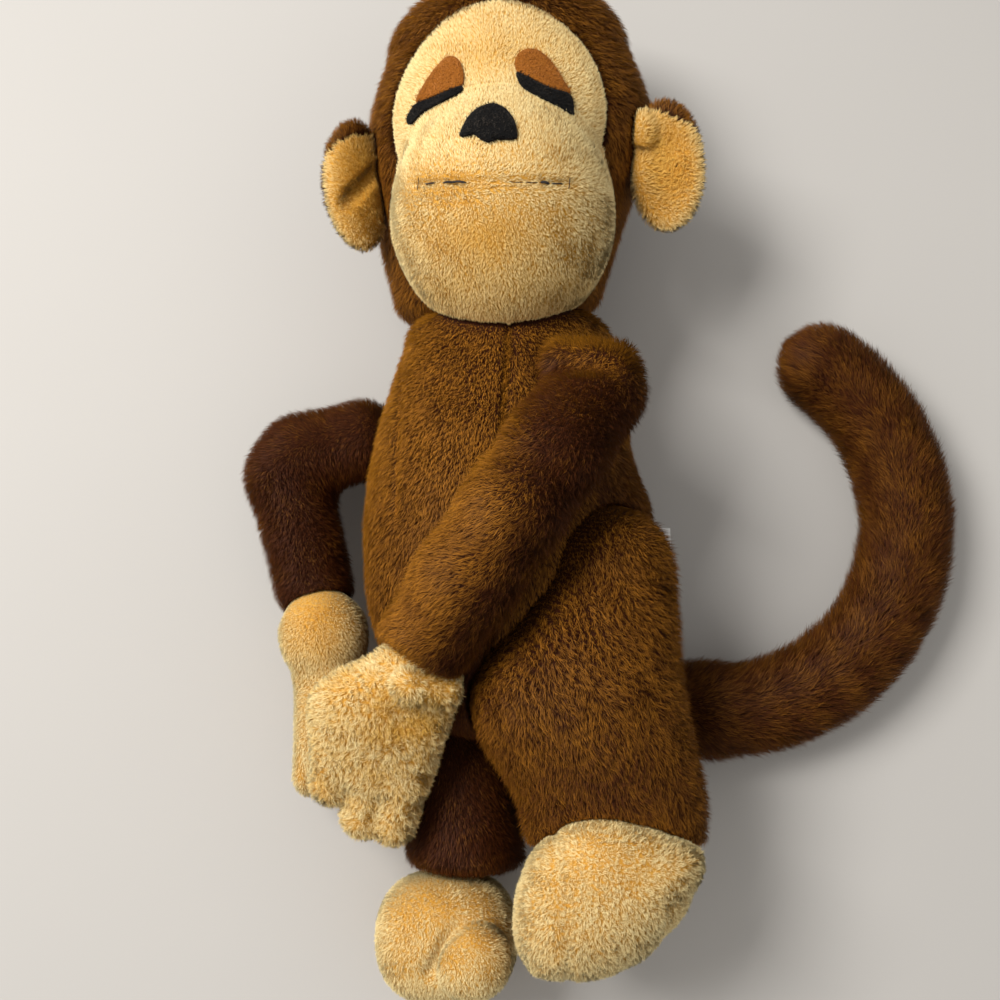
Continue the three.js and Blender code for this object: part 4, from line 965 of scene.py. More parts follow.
def grow_pile(context, name, places, faces, field, own, nap, pile_length, seed, bare):
    """Locks of fibres all over a cover: long ones that climb and bend over, and short straight ones."""
    sizes = context.scene.monkey_pile
    rng = np.random.default_rng(seed)
    root = scatter(places, faces, sizes.density * nap.crowd, rng)
    root = root[~bare(root)]
    room = room_at(root, own)
    root, room = root[room > LEAST_ROOM], room[room > LEAST_ROOM]
    count = len(root)
    normal = outward(field, root)

    way = nap.way(root)
    way = unit(way - np.sum(way * normal, axis=1, keepdims=True) * normal)
    towards, tuft, turn = clumps(root, nap.clump, seed)
    towards = towards - root
    towards = towards - np.sum(towards * normal, axis=1, keepdims=True) * normal
    swing = 0.7 * patches(root, SWING_PATCH, seed) + 0.8 * tuft + 0.4 * rng.normal(size=count)
    low_way = turned_about(normal, way, np.radians(nap.stray) * swing)
    high_way = turned_about(normal, low_way, np.radians(nap.curl) * (turn + 0.3 * rng.normal(size=count)))
    lift = at_places(nap.lift, root) + 7 * patches(root, LIFT_PATCH, seed + 1)
    lift += 7 * turn + 6 * rng.normal(size=count)
    rows = 2 * math.pi * np.sum(root * way, axis=1) / CRIMP_ROW
    rows = rows + 2.4 * patches(root, ROW_PATCH, seed + 2)
    crimp = nap.crimp * np.sin(rows)
    lift += crimp
    lift = np.radians(np.clip(lift, *LIFT_RANGE))
    guard = rng.random(count) < GUARD_SHARE
    uneven = np.clip(1 + LENGTH_SPREAD * rng.normal(size=count), *LENGTH_RANGE)
    long = pile_length * nap.share * np.where(guard, 1, UNDERCOAT_SHARE) * uneven
    long *= np.clip(WORN_SHORT + (1 - WORN_SHORT) * room / WORN_RUN, 0, 1)

    # A fibre lies flatter where another piece is near
    climb, fall = lift + CLIMB, lift - FALL
    rise = 0.5 * long * (np.sin(climb) + np.sin(fall))
    flat = np.minimum(1, PRESSED_SHARE * room / np.maximum(rise, 1e-3))
    low_run = np.cos(climb)[:, None] * low_way + (flat * np.sin(climb))[:, None] * normal
    high_run = np.cos(fall)[:, None] * high_way + (flat * np.sin(fall))[:, None] * normal
    pulled = (nap.pull * np.where(guard, 1, 0.6))[:, None] * towards
    part = np.ones(count)
    for shorter in (0.6, 0.35, 0.0):
        tip = root + part[:, None] * (0.5 * long[:, None] * (low_run + high_run) + pulled)
        part = np.where(room_at(tip, own) < TIP_ROOM, shorter, part)
    kept = part > 0
    share = part[kept, None]
    half_long = 0.5 * share * long[kept, None]
    pulled = share * pulled[kept]
    root, normal, tuft, guard, crimp = root[kept], normal[kept], tuft[kept], guard[kept], crimp[kept]
    count = len(root)
    middle = root + half_long * low_run[kept] + 0.4 * pulled
    tip = root + half_long * (low_run + high_run)[kept] + pulled

    along = unit(tip - root)
    side = unit(np.cross(along, normal))
    side = turned_about(along, side, 0.5 * rng.normal(size=count))
    half = 0.5 * sizes.fibre_width / MM * side * rng.uniform(0.75, 1.2, (count, 1))
    root = root - ROOT_SINK * normal
    blades = np.stack([root - half, root + half, middle - 0.85 * half, middle + 0.85 * half, tip], axis=1)
    blades[:, :, 2] = np.maximum(blades[:, :, 2], FIBRE_FLOOR)
    # Painted light and shade from the nap's paleness, and painted shade on fibres that rise in crimped rows
    tone = 0.5 + at_places(nap.pale, root) - 0.006 * crimp
    mottle = 0.08 * patches(root, TONE_PATCH, seed + 3) + 0.1 * tuft + 0.1 * rng.normal(size=count)
    tone += nap.vary * mottle
    # A fibre takes most of its shading from the cloth under it, as a dense soft pile does
    shading = unit(0.8 * normal + 0.4 * np.cross(side, along))
    return add_blades(name, blades, np.clip(tone, 0.02, 0.98), shading, guard)


def add_blades(name, blades, tone, shading, guard):
    """A mesh of fibres, five points each where guard is set and else three.

    Its map holds each fibre's tone, and the way from its root to its tip.
    """
    long, short = blades[guard], blades[~guard][:, [0, 1, 4]]
    base = len(long) * 5
    long_loops = np.arange(len(long))[:, None] * 5 + np.array([0, 1, 3, 2, 2, 3, 4])
    short_loops = base + np.arange(len(short))[:, None] * 3 + np.arange(3)
    loops = np.concatenate([long_loops.ravel(), short_loops.ravel()])
    long_starts = np.arange(len(long))[:, None] * 7 + np.array([0, 4])
    short_starts = len(long) * 7 + np.arange(len(short)) * 3
    starts = np.concatenate([long_starts.ravel(), short_starts])
    points = np.concatenate([long.reshape(-1, 3), short.reshape(-1, 3)])
    made = add_mesh(name, points, loops, starts, True)
    across = np.concatenate([np.repeat(tone[guard], 7), np.repeat(tone[~guard], 3)])
    long_up = np.tile([0.01, 0.01, 0.5, 0.5, 0.5, 0.5, 0.99], len(long))
    up = np.concatenate([long_up, np.tile([0.01, 0.01, 0.8], len(short))])
    places = np.stack([across, up], axis=1)
    made.data.uv_layers.new(name="OFBake").data.foreach_set("uv", places.astype(np.float32).ravel())
    normals = np.concatenate([np.repeat(shading[guard], 5, axis=0), np.repeat(shading[~guard], 3, axis=0)])
    made.data.normals_split_custom_set_from_vertices(normals)
    return made


# Materials


def add_node(tree, kind, inputs=None, **settings):
    """Adds a node with its settings. An input is a value, or another node's output to link."""
    made = tree.nodes.new(kind)
    for name, value in settings.items():
        setattr(made, name, value)
    for socket, value in (inputs or {}).items():
        if isinstance(value, bpy.types.NodeSocket):
            tree.links.new(value, made.inputs[socket])
        else:
            made.inputs[socket].default_value = value
    return made


def new_material(name):
    """An empty material, and whether it was there already."""
    known = bpy.data.materials.get(name)
    if known:
        return known, True
    made = bpy.data.materials.new(name)
    made.use_nodes = True
    made.node_tree.nodes.clear()
    return made, False


def rgba(colour_property):
    return (*colour_property, 1.0)


def both_sides(tree):
    """The fibre's own shading direction on both of its sides, so that neither side is left dark."""
    side = add_node(tree, "ShaderNodeNewGeometry")
    turn = add_node(
        tree, "ShaderNodeMath", {0: side.outputs["Backfacing"], 1: -2.0, 2: 1.0}, operation="MULTIPLY_ADD"
    )
    inputs = {0: side.outputs["Normal"], "Scale": turn.outputs[0]}
    made = add_node(tree, "ShaderNodeVectorMath", inputs, operation="SCALE")
    return made.outputs[0]


def pile_material(name, root, dark, light):
    """Acrylic pile, knitted and brushed: painted shade darkens it down among the fibres, and it is paler and
    softly shining at the ends.

    The fibres let a trace of light through, so that their far sides are lit too.
    """
    made, known = new_material(name)
    if known:
        return made
    tree = made.node_tree
    places = add_node(tree, "ShaderNodeUVMap", uv_map="OFBake")
    parts = add_node(tree, "ShaderNodeSeparateXYZ", {0: places.outputs[0]})
    climb = add_node(
        tree,
        "ShaderNodeMapRange",
        {0: parts.outputs[1], 1: 0.0, 2: 0.75, 3: 0.0, 4: 1.0},
        interpolation_type="SMOOTHSTEP",
    )
    tones = {0: parts.outputs[0], 6: rgba(dark), 7: rgba(light)}
    ends = add_node(tree, "ShaderNodeMix", tones, data_type="RGBA")
    # painted shade: the root colour darkens each fibre towards its root
    tones = {0: climb.outputs[0], 6: rgba(root), 7: ends.outputs[2]}
    shade = add_node(tree, "ShaderNodeMix", tones, data_type="RGBA")
    shader = add_node(tree, "ShaderNodeBsdfPrincipled", {
        "Base Color": shade.outputs[2],
        "Roughness": 0.62,
        "IOR": 1.5,
        "Specular IOR Level": 0.12,
        "Transmission Weight": 0.01,
        "Sheen Weight": 0.12,
        "Sheen Roughness": 0.4,
        "Sheen Tint": rgba(light),
        "Normal": both_sides(tree),
    })
    add_node(tree, "ShaderNodeOutputMaterial", {"Surface": shader.outputs[0]})
    return made


BACKING_STITCH = 0.9  # millimetres between the knitted back's rows


def backing_material(name, root, dark):
    """Knitted back of the pile cloth with the roots of its fibres, in their painted root shade: matt, and
    mottled row by row.
    """
    made, known = new_material(name)
    if known:
        return made
    tree = made.node_tree
    places = add_node(tree, "ShaderNodeTexCoord")
    scale = 1 / (BACKING_STITCH * MM)
    rows = add_node(
        tree, "ShaderNodeTexNoise", {"Vector": places.outputs["Object"], "Scale": scale, "Detail": 2.0}
    )
    share = add_node(tree, "ShaderNodeMapRange", {0: rows.outputs[0], 1: 0.35, 2: 0.75, 3: 0.0, 4: 0.7})
    bump = add_node(
        tree, "ShaderNodeBump", {"Strength": 0.6, "Distance": 0.4 * MM, "Height": rows.outputs[0]}
    )
    tones = {0: share.outputs[0], 6: rgba(root), 7: rgba(dark)}
    shade = add_node(tree, "ShaderNodeMix", tones, data_type="RGBA")
    shader = add_node(tree, "ShaderNodeBsdfPrincipled", {
        "Base Color": shade.outputs[2],
        "Roughness": 0.9,
        "Specular IOR Level": 0.15,
        "Normal": bump.outputs[0],
    })
    add_node(tree, "ShaderNodeOutputMaterial", {"Surface": shader.outputs[0]})
    return made


FELT_FIBRE = 0.5  # millimetres, drawn about twice as coarse as it is so that it shows


def felt_material(name, base):
    """Pressed wool felt: matt, with a mottle of matted fibres and a faint bloom at grazing angles."""
    made, known = new_material(name)
    if known:
        return made
    tree = made.node_tree
    places = add_node(tree, "ShaderNodeTexCoord")
    scale = 1 / (FELT_FIBRE * MM)
    fibres = add_node(
        tree, "ShaderNodeTexNoise", {"Vector": places.outputs["Object"], "Scale": scale, "Detail": 4.0}
    )
    share = add_node(tree, "ShaderNodeMapRange", {0: fibres.outputs[0], 1: 0.3, 2: 0.7, 3: 0.0, 4: 1.0})
    deep = tuple(0.62 * c for c in base)
    pale = tuple(min(1.0, 1.25 * c + 0.004) for c in base)
    bump = add_node(
        tree, "ShaderNodeBump", {"Strength": 0.5, "Distance": 0.25 * MM, "Height": fibres.outputs[0]}
    )
    tones = {0: share.outputs[0], 6: rgba(deep), 7: rgba(pale)}
    shade = add_node(tree, "ShaderNodeMix", tones, data_type="RGBA")
    shader = add_node(tree, "ShaderNodeBsdfPrincipled", {
        "Base Color": shade.outputs[2],
        "Roughness": 0.95,
        "Specular IOR Level": 0.1,
        "Sheen Weight": 0.05,
        "Normal": bump.outputs[0],
    })
    add_node(tree, "ShaderNodeOutputMaterial", {"Surface": shader.outputs[0]})
    return made


# Bands that a wave texture draws in each unit of its scaled length, along an axis and aslant
BANDS = 20 / (2 * math.pi)
SLANT_BANDS = 10 * math.sqrt(3) / (2 * math.pi)

THREAD_TWIST = 3.63  # millimetres from ply to ply, drawn several times as coarse as it is so that it shows


def thread_material(name, base):
    """Twisted cotton thread: matt, with its plies running slantwise round it."""
    made, known = new_material(name)
    if known:
        return made
    tree = made.node_tree
    places = add_node(tree, "ShaderNodeTexCoord")
    scale = 1 / (THREAD_TWIST * MM * SLANT_BANDS)
    plies = add_node(
        tree,
        "ShaderNodeTexWave",
        {"Vector": places.outputs["Object"], "Scale": scale, "Distortion": 1.0},
        bands_direction="DIAGONAL",
    )
    pale = tuple(min(1.0, 1.8 * c + 0.01) for c in base)
    bump = add_node(
        tree, "ShaderNodeBump", {"Strength": 0.5, "Distance": 0.1 * MM, "Height": plies.outputs[1]}
    )
    tones = {0: plies.outputs[1], 6: rgba(base), 7: rgba(pale)}
    shade = add_node(tree, "ShaderNodeMix", tones, data_type="RGBA")
    shader = add_node(tree, "ShaderNodeBsdfPrincipled", {
        "Base Color": shade.outputs[2],
        "Roughness": 0.8,
        "Normal": bump.outputs[0],
    })
    add_node(tree, "ShaderNodeOutputMaterial", {"Surface": shader.outputs[0]})
    return made


SATIN_THREAD = 2.2  # millimetres, drawn several times as coarse as the weave so that it shows


def satin_material(name, base):
    """Woven satin tape: fine threads side by side with a soft gleam."""
    made, known = new_material(name)
    if known:
        return made
    tree = made.node_tree
    places = add_node(tree, "ShaderNodeTexCoord")
    scale = 1 / (SATIN_THREAD * MM * BANDS)
    weave = add_node(
        tree,
        "ShaderNodeTexWave",
        {"Vector": places.outputs["Object"], "Scale": scale, "Distortion": 0.3},
        bands_direction="Y",
    )
    deep = tuple(0.84 * c for c in base)
    bump = add_node(
        tree, "ShaderNodeBump", {"Strength": 0.35, "Distance": 0.08 * MM, "Height": weave.outputs[1]}
    )
    tones = {0: weave.outputs[1], 6: rgba(deep), 7: rgba(base)}
    shade = add_node(tree, "ShaderNodeMix", tones, data_type="RGBA")
    shader = add_node(tree, "ShaderNodeBsdfPrincipled", {
        "Base Color": shade.outputs[2],
        "Roughness": 0.42,
        "Normal": bump.outputs[0],
    })
    add_node(tree, "ShaderNodeOutputMaterial", {"Surface": shader.outputs[0]})
    return made


PAINT_PATCH = 1000 / 6  # millimetres from patch to patch of the paint


def floor_material(name, base):
    """Matt painted board: plain, with a faint unevenness in the paint."""
    made, known = new_material(name)
    if known:
        return made
    tree = made.node_tree
    places = add_node(tree, "ShaderNodeTexCoord")
    scale = 1 / (PAINT_PATCH * MM)
    paint = add_node(
        tree, "ShaderNodeTexNoise", {"Vector": places.outputs["Object"], "Scale": scale, "Detail": 3.0}
    )
    deep = tuple(0.95 * c for c in base)
    tones = {0: paint.outputs[0], 6: rgba(deep), 7: rgba(base)}
    shade = add_node(tree, "ShaderNodeMix", tones, data_type="RGBA")
    shader = add_node(tree, "ShaderNodeBsdfPrincipled", {
        "Base Color": shade.outputs[2],
        "Roughness": 0.9,
        "Specular IOR Level": 0.1,
    })
    add_node(tree, "ShaderNodeOutputMaterial", {"Surface": shader.outputs[0]})
    return made


Finish = namedtuple("Finish", "slot pile backing length")


def finish_of(context, shade):
    """The pile cloth of a shade: its slot in the record, its two materials and its pile's length."""
    colours = context.scene.monkey_colours
    sizes = context.scene.monkey_pile
    if shade == "brown":
        ends = (colours.brown_root_shade, colours.brown_dark, colours.brown_light)
        pile_length = sizes.brown_length
    else:
        ends = (colours.cream_root_shade, colours.cream_dark, colours.cream_light)
        pile_length = sizes.cream_length
    pile = pile_material(f"{shade}_acrylic_pile", *ends)
    backing = backing_material(f"{shade}_knitted_backing", *ends[:2])
    return Finish(f"{shade}_plush", pile, backing, pile_length / MM)


# Dressing a piece: its cover, its pile, and what carries them


def carry(piece, rides):
    """The piece rides on a body named by rides; given the two bodies and points of a bend instead, its place
    is only baked into its mesh.
    """
    if isinstance(rides, str):
        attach(piece, rides)
        return
    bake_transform(piece)


def nowhere(p):
    return np.zeros(len(p), bool)


def below_skin(form):
    """Which points of a panel lie on its inner side or its cut edges, under the form that it covers."""
    return lambda p: form(p) < -0.7


def halves(axis, middle):
    """Two zones, below and above a place on an axis."""
    return {"_a": lambda p: p[:, axis] < middle, "_b": lambda p: p[:, axis] >= middle}


def dress(
    context, name, shade, field, own, nap, rides, nodes, seed,
    zones=None, cell=CELL, bare=nowhere, skin=None,
):
    """Covers a form in pile cloth in place of the frame's nodes.

    zones splits the pile into named parts, and skin is the whole form of which a panel is a part.
    """
    finish = finish_of(context, shade)
    low, high = reach(nodes, 3)
    places, faces = draw_cover(field, low, high, cell)
    cover = add_quads(f"{name}_cover", places, faces)
    cover.data.materials.append(finish.backing)
    carry(cover, rides)
    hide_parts(*nodes)
    middle = places[faces].mean(axis=1)
    for i, (zone, part) in enumerate((zones or {"": lambda p: ~nowhere(p)}).items()):
        own_faces = faces[part(middle)]
        own_seed = seed + 10 * i
        pile = grow_pile(
            context, f"{name}{zone}_pile", places, own_faces, skin or field, own, nap,
            finish.length, own_seed, bare,
        )
        pile.data.materials.append(finish.pile)
        carry(pile, rides)


def constant_way(vector):
    return lambda p: np.broadcast_to(np.array(vector, float), p.shape)


def near_arm_shade(p):
    """How near places are to the left arm, where painted shade darkens the pile."""
    return np.clip(1 - left_arm_form(p) / 9, 0, 1)


class MONKEY_OT_torso(Operator):
    """Sew the torso's three panels and brush their pile down the body"""

    bl_idname = "monkey.torso"
    bl_label = "Torso"

    def execute(self, context):
        def down(p):
            return np.stack([0.008 * p[:, 0], np.full(len(p), -1.0), np.full(len(p), 0.15)], axis=1)

        def torso_shade_tone(p):
            """Golden on the chest and belly, with painted shade at the seat, low on the front, on the left
            flank under the arm and round the left arm.
            """
            # painted shade at the seat and low on the front
            seat_shade = np.clip((-38 - p[:, 1]) / 14, 0, 1)
            # painted shadow of the left arm on the flank
            flank_shadow = np.clip((p[:, 0] - 16) / 10, 0, 1) * np.clip((28 - p[:, 1]) / 10, 0, 1)
            low = np.clip((14 - p[:, 1]) / 26, 0, 1)
            return 0.31 - 0.27 * low - 0.5 * seat_shade - 0.35 * near_arm_shade(p) - 0.5 * flank_shadow

        zones = {
            "_front_right": lambda p: (p[:, 2] >= SIDE_SEAM_Z) & (p[:, 0] < 0),
            "_front_left": lambda p: (p[:, 2] >= SIDE_SEAM_Z) & (p[:, 0] >= 0),
            "_back_right": lambda p: (p[:, 2] < SIDE_SEAM_Z) & (p[:, 0] < 0),
            "_back_left": lambda p: (p[:, 2] < SIDE_SEAM_Z) & (p[:, 0] >= 0),
        }
        nodes = ["torso_front_right", "torso_front_left", "torso_back", "torso_stuffing"]
        nap = Nap(down, lift=46, stray=14, clump=0.7, share=0.85, pale=torso_shade_tone, pull=0.15)
        dress(
            context, "torso", "brown", torso_cloth, {"torso"}, nap, "torso_body", nodes,
            seed=100, zones=zones,
        )
        return {"FINISHED"}


def head_way(x, y, z):
    """A way given in the head's frame."""
    return constant_way(np.array([x, y, z]) @ HEAD_AXES.T)


def from_nose(centre_y):
    """Brushed away from a point on the face's middle line."""
    def way(p):
        q = to_head(p)
        flat = np.stack([q[:, 0], q[:, 1] - centre_y, np.zeros(len(q))], axis=1)
        return flat @ HEAD_AXES.T

    return way


def muzzle_way(p):
    """Brushed up above the mouth, sideways along it and down the chin below it."""
    q = to_head(p)
    turn = math.pi * np.clip(0.5 - mouth_gap(q) / 16, 0, 1)
    flat = np.stack([np.sin(turn), np.cos(turn), np.zeros(len(q))], axis=1)
    return flat @ HEAD_AXES.T


def face_shade_tone(p):
    """Pale, with painted shade in gold low on the chin and on the middle of the brow, where the nap opens,
    and painted shade under the chin.
    """
    q = to_head(p)
    chin = np.exp(-(((q[:, 0] + 3) / 16) ** 2) - ((q[:, 1] + 42) / 8) ** 2)
    brow = np.exp(-((q[:, 0] / 17) ** 2) - ((q[:, 1] - 20) / 9) ** 2)
    low = np.clip((-46 - q[:, 1]) / 8, 0, 1)
    return 0.26 - 0.6 * chin - 0.3 * brow - 0.25 * low


def face_bare(p):
    return under_felt(p) | (face_form(p) < -1.2)


class MONKEY_OT_head(Operator):
    """Sew the hood, the face and the muzzle"""

    bl_idname = "monkey.head"
    bl_label = "Head"

    def execute(self, context):
        sides = {"_right": lambda p: to_head(p)[:, 0] < 0, "_left": lambda p: to_head(p)[:, 0] >= 0}
        way = head_way(0, -1, -0.5)
        hood = Nap(way, lift=46, stray=20, clump=1.3, share=1.1, pale=-0.12, pull=0.35)
        hood_nodes = ["hood_right", "hood_left", "head_stuffing"]
        dress(
            context, "hood", "brown", hood_cloth, {"head"}, hood, "head_body", hood_nodes,
            seed=200, zones=sides, bare=below_skin(head_form), skin=head_form,
        )
        face = Nap(
            from_nose(-12), lift=52, stray=45, clump=0.8, share=0.5, crowd=1.7, pale=face_shade_tone,
            pull=0.25, vary=0.5,
        )
        dress(
            context, "face", "cream", face_cloth, {"head", "muzzle"}, face, "head_body", ["face_panel"],
            seed=230, cell=FINE_CELL, bare=face_bare, skin=face_form,
        )
        muzzle = face._replace(way=muzzle_way)
        nodes = ["muzzle_upper", "muzzle_chin"]
        dress(
            context, "muzzle", "cream", muzzle_cloth, {"head", "muzzle"}, muzzle, "head_body", nodes,
            seed=250, cell=FINE_CELL, bare=face_bare, skin=face_form,
        )
        return {"FINISHED"}


class MONKEY_OT_ears(Operator):
    """Sew both ears, cream in front and brown behind"""

    bl_idname = "monkey.ears"
    bl_label = "Ears"

    def execute(self, context):
        for side, name in ((-1, "right"), (1, "left")):
            self.sew(context, side, name)
        return {"FINISHED"}

    def sew(self, context, side, name):
        def front(p):
            return smooth_max(ear_form(p, side), PANEL_GAP / 2 - ear_seam_gap(p, side), 0.4)

        def back(p):
            return smooth_max(ear_form(p, side), PANEL_GAP / 2 + ear_seam_gap(p, side), 0.4)

        def outwards(p):
            e = ear_places(p, side) - EAR_MIDDLE
            fold = math.radians(EAR_FOLD[side])
            out = e[:, 0] + 15
            flat = np.stack([side * out * math.cos(fold), e[:, 1], out * math.sin(fold)], axis=1)
            return flat @ HEAD_AXES.T

        own = {f"ear_{name}"}
        body = f"{name}_ear_body"
        seed = 300 + 40 * (side + 1)

        def whole(p):
            return ear_form(p, side)

        def under(p):
            return whole(p) < -0.5

        def ear_cup_shade_tone(p):
            """Painted shade in gold in the cup, pale along the rim."""
            e = (ear_places(p, side) - EAR_MIDDLE) / EAR_RADII
            return 0.6 * np.hypot(e[:, 0], e[:, 1]) ** 2 - 0.58

        nap = Nap(
            outwards, lift=52, stray=45, clump=0.9, share=0.78, crowd=1.5, pale=ear_cup_shade_tone,
            pull=0.35, vary=0.7,
        )
        dress(
            context, f"ear_{name}_front", "cream", front, own, nap, body, [f"ear_{name}_front"],
            seed=seed, cell=FINE_CELL, bare=under, skin=whole,
        )
        dress(
            context, f"ear_{name}_back", "brown", back, own, nap, body, [f"ear_{name}_back"],
            seed=seed + 20, cell=FINE_CELL, bare=under, skin=whole,
        )


# Millimetres of cloth to each side of an elbow, given with each arm's cover, which does not bend
RIGHT_BEND_RUN = 13
LEFT_BEND_RUN = 14


class MONKEY_OT_arms(Operator):
    """Sew both arms, each in one cover from shoulder to wrist"""

    bl_idname = "monkey.arms"
    bl_label = "Arms"

    def execute(self, context):
        def right_way(p):
            upper = unit_way(RIGHT_SHOULDER, RIGHT_ELBOW)
            share = np.clip(((p - RIGHT_ELBOW) @ RIGHT_WAY + 8) / 16, 0, 1)[:, None]
            return (1 - share) * upper + share * RIGHT_WAY

        def left_way(p):
            """Down the upper arm, and aslant across the forearm."""
            share = np.clip(((p - LEFT_SHOULDER) @ LEFT_WAY - 30) / 30, 0, 1)[:, None]
            return (1 - share) * LEFT_WAY + share * bearing(203)

        def left_lift(p):
            along = (p - LEFT_ELBOW) @ LEFT_WAY
            return 62 - 14 * np.clip((along + 16) / 28, 0, 1)

        def left_arm_light_and_shade(p):
            """Painted light and shade: dark on the upper arm and along the inner side, golden on the fold
            and down the forearm's outer side, which faces the lamp.
            """
            along = (p - LEFT_SHOULDER) @ LEFT_WAY
            outer = np.clip((p - LEFT_SHOULDER) @ bearing(146) / ARM_RADIUS, -1, 1)
            dark = np.clip((along + 6) / 8, 0, 1) * np.clip((48 - 16 * outer - along) / 20, 0, 1)
            # painted shade along the arm's inner side, away from the lamp
            inner_shade = np.clip(-0.4 - 2.8 * outer, 0, 1)
            return 0.1 + 0.15 * outer - 0.6 * np.maximum(dark, 0.7 * inner_shade)

        def elbow(name, place, way, run):
            return (f"{name}_arm_upper", f"{name}_arm_lower", place - run * way, place + run * way)

        parts = ("upper_arm", "upper_arm_stuffing", "forearm", "forearm_stuffing")
        right_nodes = [f"right_{part}" for part in parts]
        right_turn = bearing(-120)
        # The right arm's pile is painted dark, as shade.
        right_nap = Nap(right_way, lift=60, stray=20, clump=1.0, share=0.95, pale=-0.5, pull=0.2)
        dress(
            context, "right_arm", "brown", right_arm_cloth, {"right_arm"}, right_nap,
            elbow("right", RIGHT_ELBOW, right_turn, RIGHT_BEND_RUN), right_nodes, seed=400,
        )
        left_nap = Nap(
            left_way, lift=left_lift, stray=20, clump=1.1, share=0.95, pale=left_arm_light_and_shade,
            curl=20, pull=0.4, crimp=20,
        )
        left_nodes = [f"left_{part}" for part in parts]
        dress(
            context, "left_arm", "brown", left_arm_cloth, {"left_arm"}, left_nap,
            elbow("left", LEFT_ELBOW, LEFT_WAY, LEFT_BEND_RUN), left_nodes, seed=430,
        )
        return {"FINISHED"}


def hollow_shade_tone(p):
    """Pale wool, with painted shade in gold where the back of the left hand sinks in."""
    return 0.12 - 0.6 * np.exp(-(np.linalg.norm(p - HOLLOW_AT, axis=1) / 11) ** 2)


def heel_tone(p):
    """Golden on the heel of the right hand, paler round its sides and at its fingers."""
    q = (p - RIGHT_WRIST) @ RIGHT_HAND_AXES - HEEL_LOBE_AT
    return 0.36 - 0.5 * np.exp(-((q[:, 0] / 10) ** 2) - (q[:, 1] / 14) ** 2)


class MONKEY_OT_hands(Operator):
    """Sew both hands as mittens with sewn fingers"""

    bl_idname = "monkey.hands"
    bl_label = "Hands"

    def execute(self, context):
        for name, field, way, lift in (
            ("right", right_hand_form, RIGHT_WAY, 60),
            ("left", left_hand_form, LEFT_HAND_WAY, 56),
        ):
            nodes = [f"{name}_hand_palm", f"{name}_hand_back", f"{name}_hand_stuffing"]
            nap = Nap(
                constant_way(way), lift, stray=110, clump=1.5, share=0.75, crowd=1.5, pale=hollow_shade_tone,
                curl=60, pull=0.8, vary=1.8,
            )
            if name == "right":
                nap = nap._replace(stray=20, clump=0.8, curl=0, share=0.5, crowd=1.7)
                nap = nap._replace(pale=heel_tone, pull=0.15, vary=0.5)
            patch = next(patch for patch in PATCHES if patch.hand == name)
            dress(
                context, f"{name}_hand", "cream", field, {f"{name}_hand"}, nap, f"{name}_arm_lower", nodes,
                seed=500 + 20 * len(name), cell=FINE_CELL, bare=under_patch(patch),
            )
        return {"FINISHED"}


def leg_shade_tone(p):
    """The left leg darkens from its hip down to its cuff, and takes painted shade beside the arm."""
    cuff = np.exp(-(((p[:, 0] - 29) / 14) ** 2) - ((p[:, 1] + 83) / 9) ** 2)
    return 0.06 - 0.14 * np.clip((-40 - p[:, 1]) / 40, 0, 1) - 0.2 * cuff - 0.4 * near_arm_shade(p)


class MONKEY_OT_legs(Operator):
    """Sew both legs"""

    bl_idname = "monkey.legs"
    bl_label = "Legs"

    def execute(self, context):
        for name, field, way, lift, stray in (
            ("right", right_leg_cloth, (0.1, -1, 0.2), 62, 16),
            ("left", left_leg_cloth, (0.3, -1, 0.1), 54, 26),
        ):
            nodes = [f"{name}_leg", f"{name}_leg_stuffing"]
            # The right leg's pile is painted dark, as shade, and the left leg's takes its own painted shade
            # below.
            nap = Nap(constant_way(way), lift, stray, clump=1.0, share=0.85, pale=-0.5, pull=0.2)
            if name == "left":
                nap = nap._replace(share=0.95, pale=leg_shade_tone, pull=0.3, crimp=32)
            dress(
                context, f"{name}_leg", "brown", field, {f"{name}_leg"}, nap, f"{name}_leg_body", nodes,
                seed=600 + 20 * len(name), zones=halves(2, 45 if name == "left" else 20),
            )
        return {"FINISHED"}


class MONKEY_OT_feet(Operator):
    """Sew both feet as round pads"""

    bl_idname = "monkey.feet"
    bl_label = "Feet"

    def execute(self, context):
        for name, field in (("right", right_foot_form), ("left", left_foot_form)):
            nodes = [f"{name}_foot_top", f"{name}_foot_sole", f"{name}_foot_stuffing"]
            nap = Nap(
                constant_way((0.25, -1, 0.1)), lift=54, stray=110, clump=1.1, share=0.6, crowd=1.6,
                pale=0.26, curl=50, pull=0.6, vary=0.7,
            )
            if name == "right":
                nap = nap._replace(stray=50, clump=0.8, share=0.5, pale=0.3, curl=20, pull=0.25, vary=0.5)
            dress(
                context, f"{name}_foot", "cream", field, {f"{name}_foot"}, nap, f"{name}_leg_body", nodes,
                seed=700 + 20 * len(name),
            )
        return {"FINISHED"}


TAIL_BEND_TURN = 82  # degrees that the tail has turned where it bends
TAIL_BEND_RUN = 16  # millimetres of cloth to each side of the bend, given with the cover, which does not bend


